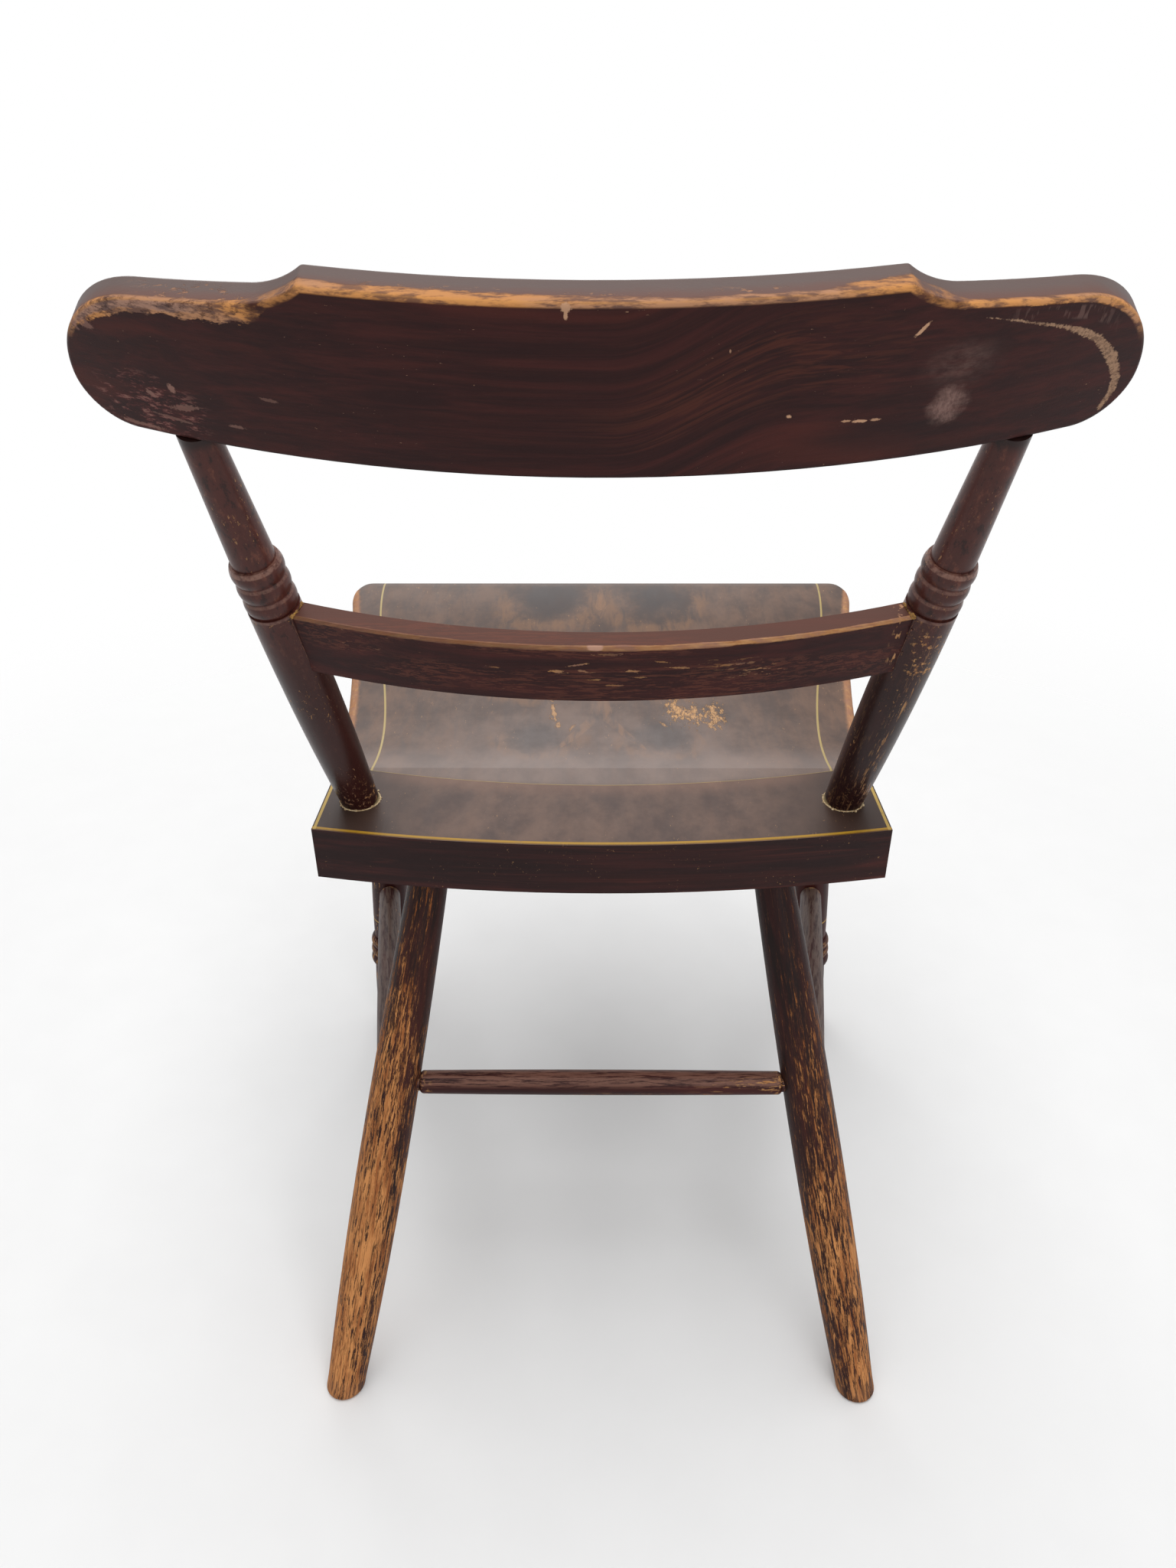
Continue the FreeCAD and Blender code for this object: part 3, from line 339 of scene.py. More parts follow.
def leaf(x, z, place, turn, long, wide):
    # a pointed leaf shape: above 0 inside it, 1 along its middle
    cos, sin = math.cos(math.radians(turn)), math.sin(math.radians(turn))
    along = (x - place[0]) * (cos / long) + (z - place[1]) * (sin / long)
    across = (z - place[1]) * (cos / wide) - (x - place[0]) * (sin / wide)
    return 1 - along * along - abs(across), across, along


def stencil(x, z, leaves, fruits):
    # bronze powder leaves and fruit: mask, and a shading value for their veins and bloom
    mask, glow = None, None
    for place, turn, long, wide in leaves:
        inside, across, along = leaf(x, z, place, turn, long, wide)
        ribs = (abs(across) * 9 + along * 14).sine() * 0.18 + 0.7
        vein = abs(across).rise(0.03, 0.12)
        one = inside.rise(0, 0.05) * vein
        mask = one if mask is None else mask.most(one)
        glow = one * ribs if glow is None else glow.most(one * ribs)
    for place, radius in fruits:
        away = oval(x, z, place, radius, radius)
        one = away.rise(1, 0.94)
        paleSheen = away.rise(0.15, 1)
        mask = mask.most(one)
        glow = glow.most(one * (0.35 + paleSheen * 0.65))
    return mask, glow


def crestPaint():
    material, start = startFinish("crestPaint")
    point = surfacePoint(start, crest["origin"], (math.radians(crest["lean"]), 0, 0))
    x, y, z = point.parts()
    side = abs(x)
    back = throughBoard(x, y, crest["bend"])
    # distance in from the upper outline: raised middle, cove, lobe
    lobeX, lobeZ = crest["lobeCentre"]
    out = (side - lobeX).most(0)
    over = (z - lobeZ).most(0)
    climb = (crest["crownAt"] - side).most(0) * crest["lobeSlope"]
    lobeEdge = crest["lobeRadius"] + climb - (out * out + over * over).root()
    coveX, coveZ = side - crest["coveCentre"][0], z - crest["coveCentre"][1]
    inner = ((coveX * coveX + coveZ * coveZ).root() - crest["coveRadius"]).least(crest["height"] - z)
    edge = inner + (lobeEdge - inner) * side.rise(crest["coveFoot"] - 1, crest["coveFoot"] + 1)
    fromBack = crest["half"] - back

    # the graining runs level, and climbs in one bend right of the middle
    bow = crest["graining"]
    flow = z - (x - bow["middle"]).rise(bow["reach"], -bow["reach"]) * bow["climb"]
    grain = start.node("ShaderNodeCombineXYZ", None, {0: x * 0.05, 1: y, 2: flow * 1.3})
    colour, streaks = grainedPaint(grain, (1, 1, 1))
    figure = oval(x, flow, *crest["figure"]).rise(1.25, 0.3)
    lines = grain.cloud(3.2, detail=3, rough=0.6, bent=0.5)
    colour = (lines.rise(0.44, 0.66) * (figure * 0.5 + 0.08)).blend(colour, crest["figureTint"])
    # a darker patch low on the right lobe
    darkPatch = oval(x, z, *crest["darkPatch"]).rise(1.3, 0.4)
    colour = (darkPatch * 0.5).blend(colour, crest["darkPatchTint"])
    ragged = point.stretched(0.45, 1, 1).uneven(7, 4, 0.7)
    patchy = point.stretched(0.5, 1, 1).uneven(34, 3)
    speck = point.stretched(0.5, 1, 1).uneven(2.8, 4, 0.75)
    leftLobe, rightLobe = x.rise(140, 156), (-x).rise(140, 156)
    onLobe = leftLobe.most(rightLobe)
    level = facing(start)[2]
    up = level.rise(0.35, 0.95)
    # painted shade: faces turned downwards darkened
    colour = (level.rise(-0.3, -0.9) * 0.7).blend(colour, crest["underside"])
    # dust and painted sheen on the upward faces: browner near the back arris, greyer further forward
    upperTintAndSheen = (fromBack + ragged * 5).rise(3, 11).blend(crest["upperTintAndSheenAtArris"], paint["dustAndSheen"])
    colour = (up * 0.85).blend(colour, upperTintAndSheen)
    toEnd = z.rise(44, 60).most(1 - onLobe)
    # paint worn off: down the back from the arris, and forward over the top
    worn = crest["worn"]
    onLeft = x.rise(250, 222) * worn["leftEnd"] + x.rise(214, 158) * worn["leftLobe"]
    depth = worn["depth"] + leftLobe * onLeft + rightLobe * worn["rightLobe"]
    fray = ragged * (depth * 1.1 + 1.6) + speck * 3
    onBack = edge.rise(depth + fray + 0.5, depth + fray - 0.5) * fromBack.rise(3.2, 1.8)
    nearCorner = side.rise(96, 138) * (1 - onLobe)
    ahead = 4.3 + patchy * 13 - leftLobe * 2.6 - rightLobe * 2.6 + nearCorner * 2.4
    onTop = fromBack.rise(ahead + ragged * 5 + 0.9, ahead + ragged * 5 - 0.9) * edge.rise(3.4, 2)
    rubs = (ragged + speck).rise(0.10, 0.2) * fromBack.rise(10, 5) * edge.rise(3.4, 2) * 0.7
    flecks = (speck + ragged * 0.5).rise(0.05, 0.13) * x.rise(146, 156) * x.rise(216, 186)
    flecks = flecks * edge.rise(3.4, 2) * fromBack.rise(15, 12)
    wear = (onBack.most(onTop).most(rubs * (1 - onLobe)) * toEnd).most(flecks * 0.85)
    inCove = (side - 142).within(8, 7)
    wear = wear * (1 - inCove * (0.45 + ragged.rise(-0.1, 0.12) * 0.5))
    holes = leftLobe * speck.rise(0, -0.14) * fromBack.rise(3.2, 1.8) * 0.7
    wear = wear * (1 - holes) * (0.82 + patchy.rise(-0.3, 0) * 0.18)
    tone = point.shifted((9, 50, 3)).stretched(0.22, 1, 1).cloud(4, detail=4, rough=0.72)
    bare = tone.rise(0.38, 0.56).blend(crest["bareDark"], crest["bareLight"])
    pinkish = patchy.rise(0.06, -0.06) * 0.45
    middle = (edge - depth * 0.42 + ragged * 5).within(depth * 0.2, 2) * x.rise(160, 186)
    pinkish = pinkish.most(leftLobe * middle * 0.8)
    bare = pinkish.blend(bare, tone.rise(0.4, 0.58).blend(crest["greyDark"], crest["greyLight"]))
    arris = edge.most(fromBack).rise(1.6, 0.4) * ragged.rise(-0.2, 0.1)
    bare = (arris * 0.6).blend(bare, crest["bareArris"])
    # painted shade: bare wood on the upward faces darkened against the stronger light there
    bare = (up * 0.34).blend(bare, crest["bareTopShade"])
    colour = wear.blend(colour, bare)

    # scuffs on the left lobe, the scrape inside the right one, its smudge, and small chips
    backFace = fromBack.rise(2.2, 1)
    rough = ragged * 0.6 + point.uneven(1.5, 3, 0.75) * 1.5
    patch = oval(x, z - (x - crest["rubbed"][0][0]) * 0.05, *crest["rubbed"]).rise(1.25, 0.55)
    hairs = point.shifted((0, 12, 60)).stretched(0.14, 1, 1).cloud(2.4, detail=4, rough=0.7)
    colour = (hairs.rise(0.50, 0.6) * patch * backFace * 0.55).blend(colour, crest["hairs"])
    hairs = hairs.rise(0.57, 0.64) * patch
    scuffs = strokes(x, z, crest["scuffs"], rough * 1.6).most(hairs * 0.7)
    scrape = trail(x, z, crest["scrape"], rough * 2 + ragged * 1.4) * (0.4 + rough.rise(-0.2, 0.15) * 0.5)
    teeth = point.stretched(1, 1, 0.25).cloud(2.6, detail=2).rise(0.5, 0.62)
    serrated = (edge - crest["border"]).within(2.6, 1.6) * teeth * 0.3
    serrated = serrated * (-x).rise(172, 190) * (-x).rise(236, 218)
    bristle = point.stretched(1, 1, 0.5).cloud(1.8, detail=4, rough=0.75)
    smudge = (oval(x, z, *crest["smudge"]) + ragged * 1.6).rise(1.4, 0.2)
    smudge = smudge * (0.5 + bristle.rise(0.35, 0.65) * 0.5)
    haze = oval(x, z, *crest["haze"]).rise(1.3, 0.1) * (ragged + 0.5).rise(0.3, 0.8) * 0.35
    colour = (haze.most(smudge * 0.9).most(serrated) * backFace).blend(colour, crest["smudgeTint"])
    colour = (scuffs * 0.7 * backFace).blend(colour, crest["scuffTint"])
    colour = (scrape * backFace).blend(colour, crest["scrapeTint"])
    fine = nicks(point.stretched(0.35, 1, 1), 1.5, 0.69) * 0.5
    marks = strokes(x, z, crest["chips"], rough * 1.3).most(fine) * backFace
    colour = marks.blend(colour, crest["chipTint"])
    marks = marks.most(scrape).clamped()

    # front: bronze fruit and leaves inside a yellow line
    onFront = back.rise(-crest["half"] + 1.6, -crest["half"] + 0.6)
    bronze, glow = stencil(side, z, crest["leaves"], crest["fruits"])
    lower = (z - crest["border"] * 0.9).within(crest["line"], 0.25) * side.rise(206, 203)
    upper = (edge - crest["border"]).within(crest["line"], 0.25) * z.rise(8, 12)
    rubbed = streaks.rise(0.2, 0.34) * ragged.rise(-0.42, -0.3)
    line = (lower.most(upper)) * onFront * rubbed
    bronze = bronze * onFront * rubbed
    colour = line.blend(colour, paint["ochre"])
    colour = bronze.blend(colour, glow.blend(paint["bronze"], paint["gold"]))
    metal = bronze * glow * 0.55

    gloss = 0.38 + streaks * 0.16 + wear * 0.3 + marks * 0.25 - bronze * 0.08
    height = streaks * 0.35 - wear * 0.8 - marks * 0.4 + point.cloud(0.9) * 0.12
    return endFinish(material, start, colour, gloss, height, 0.0003, metal, sheens["frame"])


dress("crest_rail", crestPaint())
print("crest rail painted")


# Back slat

slat = {
    "origin": (0, 0.176440, 0.579390), "lean": -18.492, "bend": 596, "half": 7, "height": 21.1,
    "frameX": 155, "frameZ": 15.6, "line": 0.6,
    "scratches": [
        ((25, 3), 4, 4, 0.8, 1), ((13, 8.5), -12, 4, 0.5, 0.9),
        ((10, 3.5), 10, 3.4, 0.6, 0.8), ((-4, 16.5), 0, 7, 0.8, 0.4),
        ((-17, 3.5), 2, 3.6, 0.8, 0.9), ((-7.6, -7.5), 0, 3.4, 0.6, 0.6),
        ((-22, -1.5), 0, 3, 0.5, 0.6), ((-44, 5), 6, 5, 0.5, 0.6),
        ((-72, 5), -4, 6, 0.5, 0.6), ((60, 4), 3, 4, 0.5, 0.5),
        ((-33, 10), 8, 3, 0.5, 0.6), ((4, -3), 0, 3, 0.5, 0.6),
    ],
    "leaves": [
        ((14, 0), 0, 12, 4.6), ((34, 5), 24, 13, 4), ((34, -5), -24, 13, 4),
        ((60, 3), 12, 13, 3.6), ((62, -7), -16, 11, 3.2), ((86, 0), 0, 12, 3.2),
    ],
    "fruits": [((0, 0), 5.2)],
    "topTintAndSheen": shade(98, 62, 50), "redLines": shade(104, 58, 44), "spotTint": shade(176, 136, 118),
}


def slatPaint():
    material, start = startFinish("slatPaint")
    point = surfacePoint(start, slat["origin"], (math.radians(slat["lean"]), 0, 0))
    x, y, z = point.parts()
    side = abs(x)
    back = throughBoard(x, y, slat["bend"])
    fromBack = slat["half"] - back
    fromTop = slat["height"] - z
    colour, streaks = grainedPaint(point.shifted((55, 9, 21)), (0.06, 1, 1))
    up = facing(start)[2]
    # dust and painted sheen: the upward face lightened
    colour = (up.rise(0.4, 0.9) * 0.6).blend(colour, slat["topTintAndSheen"])
    ragged = point.stretched(0.25, 1, 1).uneven(5, 4, 0.7)
    width = 1.3 + side.rise(180, 20) * 0.5 + ragged * 3.4
    arris = fromTop.most(fromBack)
    wear = arris.rise(width + 0.8, width) * fromTop.rise(3, 1.8) * (0.3 + (-x).rise(-60, 60) * 0.45)
    spot = (((x - 4) * (x - 4)) * 0.05 + (fromTop * fromTop) * 0.24 + ragged * 2).rise(1.3, 0.5)
    spot = spot * fromBack.rise(3, 1.6)
    middle = (x + 24).within(62, 30) * (z - 4).within(8, 8)
    scratched = nicks(point.stretched(0.1, 1, 1), 1.9, 0.66 - middle * 0.095) * (0.3 + middle * 0.6)
    broken = point.stretched(0.5, 1, 1).uneven(2.2, 4, 0.78)
    scratched = scratched.most(strokes(x, z, slat["scratches"], broken * 6) * fromBack.rise(2.5, 1.2))
    redLines = nicks(point.shifted((3, 40, 8)).stretched(0.08, 1, 1), 1.8, 0.5)
    flaked = point.stretched(1, 1, 0.4).uneven(2.6, 3).rise(0.07, 0.12)
    nearPost = (x + 172).within(4, 8) * flaked
    colour = (redLines * 0.4).blend(colour, slat["redLines"])
    bare = bareWood(point, (0.16, 1, 1))
    bare = ragged.rise(-0.1, 0.2).blend(bare, paint["barePink"])
    colour = wear.most(scratched * 0.75).most(nearPost * 0.9).blend(colour, bare)
    colour = (spot * 0.8).blend(colour, slat["spotTint"])
    onFront = back.rise(-slat["half"] + 1.5, -slat["half"] + 0.6)
    bronze, glow = stencil(side, z, slat["leaves"], slat["fruits"])
    frameX, frameZ, line = slat["frameX"], slat["frameZ"], slat["line"]
    border = (abs(z) - frameZ).within(line, 0.25) * side.rise(frameX + 2, frameX)
    closing = (side - frameX).within(line, 0.25) * abs(z).rise(frameZ + line, frameZ)
    rubbed = streaks.rise(0.2, 0.34)
    bronze = bronze * onFront * rubbed
    colour = (border.most(closing) * onFront * rubbed).blend(colour, paint["ochre"])
    colour = bronze.blend(colour, glow.blend(paint["bronze"], paint["gold"]))
    rough = 0.36 + streaks * 0.16 + wear * 0.25
    height = streaks * 0.35 - wear * 0.6 - scratched * 0.5 + point.cloud(0.9) * 0.12
    return endFinish(material, start, colour, rough, height, 0.0003, bronze * glow * 0.55, sheens["frame"])


dress("back_slat", slatPaint())
print("back slat painted")


# Seat plank

seat = {
    "origin": (0, 0.15322, 0.443), "lean": -1.509, "rearHalf": 187.5, "rearBow": 17.6, "ledgeHalf": 184.5,
    "ledgeMiddle": 70.4, "ledgeBow": 24.9, "outline": (184.5, 0.0598, 0.000199), "ledgeSide": 74.6,
    "scoopStart": 95.3,
    # figure: two rows of dark ovals, and light strokes as places with half widths
    "eyes": [((47, 150), 25, 25), ((46, 368), 34, 42), ((64, 262), 30, 40)],
    "strand": [(36, 122, 1), (22, 146, 4), (6, 176, 5), (0, 230, 3)],
    "crown": [(-4, 316, 1), (-2, 350, 7), (-3, 400, 2)],
    "chips": [
        ((-57, 190), 84, 14, 5, 1), ((-70, 182), 75, 9, 6, 0.9),
        ((-82, 168), 60, 6, 2, 0.8), ((-86, 184), 85, 12, 5, 0.9),
        ((36, 187), 85, 11, 1.6, 0.7), ((32, 168), 88, 4, 1.6, 0.6),
        ((-46, 170), 60, 4, 0.9, 0.6), ((22, 162), 110, 4, 0.8, 0.5),
    ],
    "stripeWidth": 0.6, "lineSpread": (160.3, -7.02, 14.65, -2.867),
    "flameDark": shade(66, 50, 43), "flameLight": shade(98, 74, 60), "eyeTint": shade(44, 37, 37),
    "arcTint": shade(116, 84, 60), "strandTint": shade(128, 92, 64), "ledgeDark": shade(68, 52, 47),
    "ledgeLight": shade(98, 76, 65), "ledgeEnds": shade(54, 39, 33), "ledgeWarm": shade(126, 94, 78),
    "paleSheenTint": shade(116, 104, 100), "foldSheen": shade(150, 136, 130), "edgeGrain": shade(92, 44, 36),
    "edgeDark": shade(22, 9, 9), "wornSide": shade(148, 108, 92), "thinLine": shade(164, 142, 84),
    "rearLineDark": shade(98, 66, 18), "rearLine": shade(158, 120, 34), "sideLine": shade(180, 150, 78),
    "chipTint": shade(182, 138, 92),
}


def seatPaint():
    material, start = startFinish("seatPaint")
    point = surfacePoint(start, seat["origin"], (math.radians(seat["lean"]), 0, 0))
    x, y, z = point.parts()
    reach = -y
    side = abs(x)
    up = facing(start)[2]
    ragged = point.uneven(6, 4, 0.7)
    drift = point.uneven(70, 2)

    # flame graining: light wisps in the middle, dark eyes beside them, pale arcs behind the eyes
    streaks = point.stretched(1, 0.2, 1).cloud(8, detail=5, rough=0.62, bent=0.8)
    soft = point.stretched(1, 0.7, 1).cloud(30, detail=4, rough=0.62)
    wobble = drift * 1.1 + ragged * 0.35 + (soft - 0.5) * 0.9
    flame = (streaks * 0.3 + soft * 0.7).rise(0.36, 0.66).blend(seat["flameDark"], seat["flameLight"])
    eyes, arcs = None, None
    for place, wide, long in seat["eyes"]:
        away = oval(side, reach, place, wide, long) + wobble
        dark = away.rise(1.15, 0.35)
        arc = (away - 1.28).within(0.08, 0.3) * ((reach - place[1]) * (1 / long)).rise(0.5, -0.2)
        eyes = dark if eyes is None else eyes.most(dark)
        arcs = arc if arcs is None else arcs.most(arc)
    flame = (eyes * (0.6 + soft.rise(0.3, 0.6) * 0.3)).blend(flame, seat["eyeTint"])
    flame = (arcs * streaks.rise(0.3, 0.6) * 0.6).blend(flame, seat["arcTint"])
    strands = trail(side, reach, seat["strand"], (wobble - 0.2) * 3)
    strands = strands.most(trail(side, reach, seat["crown"], wobble * 4))
    flame = (strands * streaks.rise(0.35, 0.6) * 0.6).blend(flame, seat["strandTint"])
    ledgeFront = side * side * (seat["ledgeBow"] / seat["ledgeHalf"] ** 2) + seat["ledgeMiddle"]
    onLedge = (reach - ledgeFront).rise(0.6, -0.6)
    plain = (soft * 0.8 + ragged * 0.12 + 0.1).rise(0.34, 0.68).blend(seat["ledgeDark"], seat["ledgeLight"])
    plain = side.rise(85, 175).blend(plain, seat["ledgeEnds"])
    alongStripe = (ledgeFront - reach).rise(20, 0) * side.rise(170, 120) * 0.35
    plain = alongStripe.blend(plain, seat["ledgeWarm"])
    flame = onLedge.blend(flame, plain)
    # painted reflection: a grey sheen in the scoop, and over the fold where the level strip meets it
    paleSheen = (reach - ledgeFront).rise(0, 8) * reach.rise(300, 130) * side.rise(185, 50)
    flame = (paleSheen * (0.2 + soft.rise(0.3, 0.7) * 0.26)).blend(flame, seat["paleSheenTint"])
    past = reach - seat["scoopStart"]
    strip = past.rise(0.5, -0.5) * 0.22 + past.rise(-0.5, 0.5) * past.rise(46, 0) * 0.3
    flame = (strip * (reach - ledgeFront).rise(0.6, 2)).blend(flame, seat["foldSheen"])

    edge, plankGrain = grainedPaint(point.shifted((13, 70, 5)), (0.05, 0.3, 1))
    grainLine = point.stretched(0.02, 0.2, 1).cloud(5, detail=4, bent=2)
    edge = (grainLine.rise(0.55, 0.7) * 0.45).blend(edge, seat["edgeGrain"])
    edge = (plankGrain.rise(0.7, 0.3) * 0.5 + 0.2).blend(edge, seat["edgeDark"])
    onTop = up.rise(0.45, 0.7)
    colour = onTop.blend(edge, flame)

    # worn side arrises in front of the ledge
    ahead = reach - seat["ledgeSide"]
    half = seat["outline"][0] + ahead * seat["outline"][1] + ahead * ahead * seat["outline"][2]
    inward = half - side
    sideWear = inward.rise(8.5 + ragged * 7, 5) * up.rise(0.05, 0.3) * reach.rise(92, 104)
    sideWear = sideWear * reach.rise(400, 380)
    bare = bareWood(point, (1, 0.2, 1))
    worn = (ragged.rise(-0.3, 0.2) * 0.85).blend(bare, seat["wornSide"])
    colour = (sideWear * 0.8).blend(colour, worn)

    # thin cream line round the seat, yellow line on the rear edge
    stripeX = reachLine(reach)
    width = seat["stripeWidth"]
    sideLine = (side - stripeX).within(width, 0.35) * reach.rise(88, 91)
    frontLine = (z + 17).within(width, 0.35) * reach.rise(405, 409) * side.rise(199, 197)
    ledgeLine = (reach - ledgeFront - 0.4).within(width, 0.35) * side.rise(160.4, 159.6)
    rubbed = point.cloud(11, detail=3).rise(0.26, 0.4) * 0.35 + 0.65
    lines = sideLine.most(ledgeLine) * up.rise(0, 0.2) * z.rise(-18, -16)
    colour = (lines.most(frontLine) * rubbed * 0.85).blend(colour, seat["thinLine"])
    rearIn = reach - side * side * (seat["rearBow"] / seat["rearHalf"] ** 2)
    ochreLine = (rearIn - 1.95).within(1.5, 0.3) * up.rise(0.6, 0.8)
    narrowing = (seat["rearHalf"] - seat["ledgeHalf"]) / (seat["ledgeSide"] - seat["rearBow"])
    ledgeSideIn = seat["rearHalf"] - (reach - seat["rearBow"]) * narrowing - side
    ledgeSideLine = (ledgeSideIn - 1.8).within(0.8, 0.3) * reach.rise(92, 84) * reach.rise(17, 19)
    two = (rearIn - 1.2).rise(-0.2, 0.5)
    rearColour = two.blend(seat["rearLineDark"], seat["rearLine"])
    colour = (ochreLine * rubbed).blend(colour, rearColour)
    colour = (ledgeSideLine * up.rise(0.6, 0.8) * rubbed * 0.9).blend(colour, seat["sideLine"])

    # chips through to the wood, right of the middle in the scoop
    broken = point.stretched(1, 0.4, 1).uneven(3.4, 5, 0.78)
    crumbly = point.stretched(1, 0.3, 1).cloud(1.5, detail=3, rough=0.7).rise(0.40, 0.50)
    chip = strokes(x, reach, seat["chips"], broken * 9) * (0.35 + crumbly * 0.65)
    fine = nicks(point.shifted((90, 4, 0)).stretched(1, 0.3, 1), 2, 0.66) * 0.5
    colour = chip.most(fine).blend(colour, seat["chipTint"])
    rough = 0.4 + streaks * 0.14 + sideWear * 0.25 - lines * 0.1
    height = streaks * 0.3 - chip * 0.9 - sideWear * 0.6 + lines * 0.3 + point.cloud(0.9) * 0.1
    return endFinish(material, start, colour, rough, height, 0.0003, None, sheens["seat"])


def reachLine(reach):
    # half spacing of the side lines as they run forward
    far = (reach - 88) * 0.01
    near, first, second, third = seat["lineSpread"]
    return near + far * (first + far * (second + far * third))


dress("seat_plank", seatPaint())
print("seat plank painted")


# Turned members: each has its own frame, Z along its axis from its lower end

def axisFrame(low, high):
    turn = (Vector(high) - Vector(low)).to_track_quat("Z", "Y")
    return low, tuple(turn.to_euler())


post = {
    "foot": (0.1610, 0.10132, 0.444367), "top": (0.2005, 0.19262, 0.717367), "footRadius": 0.01285,
    "ringAt": 174.8, "pitch": 10.9, "rings": 3,
    "upperRed": shade(84, 44, 36), "darkMottleAndShade": shade(24, 12, 12), "mottleLight": shade(112, 66, 50),
    "ringWearAndHighlight": shade(148, 112, 98), "shadeUnderCrest": shade(18, 12, 12),
}


def mirrored(place, side):
    return (place[0] * side, place[1], place[2])


def postPaint(name, side):
    material, start = startFinish("postPaint_" + name)
    origin, turn = axisFrame(mirrored(post["foot"], side), mirrored(post["top"], side))
    point = surfacePoint(start, origin, turn)
    world = surfacePoint(start)
    z = point.parts()[2]
    colour, streaks = grainedPaint(point.shifted((side * 40, 0, side * 90)), (1, 1, 0.09))
    mottled = point.stretched(1, 1, 0.5).cloud(5, detail=5, rough=0.72)
    upper = z.rise(110, 200)
    colour = (upper * 0.45).blend(colour, post["upperRed"])
    # darker mottle, and painted shade over the lower post
    colour = (mottled.rise(0.46, 0.36) * 0.7).most(0.55 - upper * 0.55).blend(colour, post["darkMottleAndShade"])
    colour = (mottled.rise(0.54, 0.68) * (upper * 0.4 + 0.1)).blend(colour, post["mottleLight"])
    ragged = point.uneven(3.4, 4, 0.75)
    # pale lines below, between and above the rings, the top one the widest: worn paint and painted
    # highlights on their upper shoulders
    wear = None
    last = post["rings"]
    for edge in range(last + 1):
        height = post["ringAt"] + post["pitch"] * edge - 1.3
        line = (z - height).within(0.5 + (edge == last) * 0.5, 0.8) * ragged.rise(-0.2, 0.12)
        line = line * (0.85 if edge == last else 0.5)
        wear = line if wear is None else wear.most(line)
    specks = nicks(point.stretched(1, 1, 0.4), 1.7, 0.62) * 0.6
    dashes = nicks(point.shifted((0, side * 21, 9)).stretched(1, 1, 0.1), 1.5, 0.57)
    outer = (world.parts()[0] * side - 161 - z * 0.144).rise(-3, 5)
    dashes = dashes * (outer * 0.8 + 0.2) * z.rise(168, 130) * (0.9 if side < 0 else 0.35)
    dabs = z.rise(36, 8).most((z - 171.6).within(0.9, 0.8)) * ragged.rise(0.07, 0.13)
    dabs = dabs * (0.85 if side > 0 else 0.3)
    chips = specks.most(dashes).most(dabs)
    if side < 0:
        nearSlat = (z - 148).within(13, 9) * world.parts()[0].rise(-172, -178)
        chips = chips.most(nearSlat * ragged.rise(0.04, 0.12) * 0.9)
    # worn paint and painted highlight on the ring shoulders
    colour = (wear * 0.7).blend(colour, post["ringWearAndHighlight"])
    chips = chips.least(1)
    bare = bareWood(point, (1, 1, 0.2))
    colour = chips.blend(colour, bare)
    foot = z.rise(3, 0.8) * ragged.rise(-0.25, 0.05)
    colour = (foot * 0.6).blend(colour, paint["cream"])
    # painted shade: the post's top end darkened where it meets the crest
    colour = (z.rise(281, 288) * 0.8).blend(colour, post["shadeUnderCrest"])
    rough = 0.24 + streaks * 0.14 + chips * 0.3
    height = streaks * 0.3 - chips * 0.7 + mottled * 0.3 + point.cloud(0.9) * 0.12
    return endFinish(material, start, colour, rough, height, 0.0003, None, sheens["post"])


rearLeg = {
    "foot": (0.1943, 0.23392, 0), "top": (0.1145, 0.09272, 0.406294),
    # how much paint is left: low part, middle, top, and more on the inner side
    "paintLeft": {
        "left": {"low": 0.410, "middle": 0.470, "top": 0.540, "inner": 0.06},
        "right": {"low": 0.455, "middle": 0.525, "top": 0.580, "inner": 0.04},
    },
    "nearBlack": shade(22, 14, 13), "bareLight": shade(198, 136, 82), "bareDark": shade(142, 84, 46),
    "grainLines": shade(58, 34, 24), "thinPaint": shade(92, 54, 38), "footTint": shade(150, 104, 72),
}


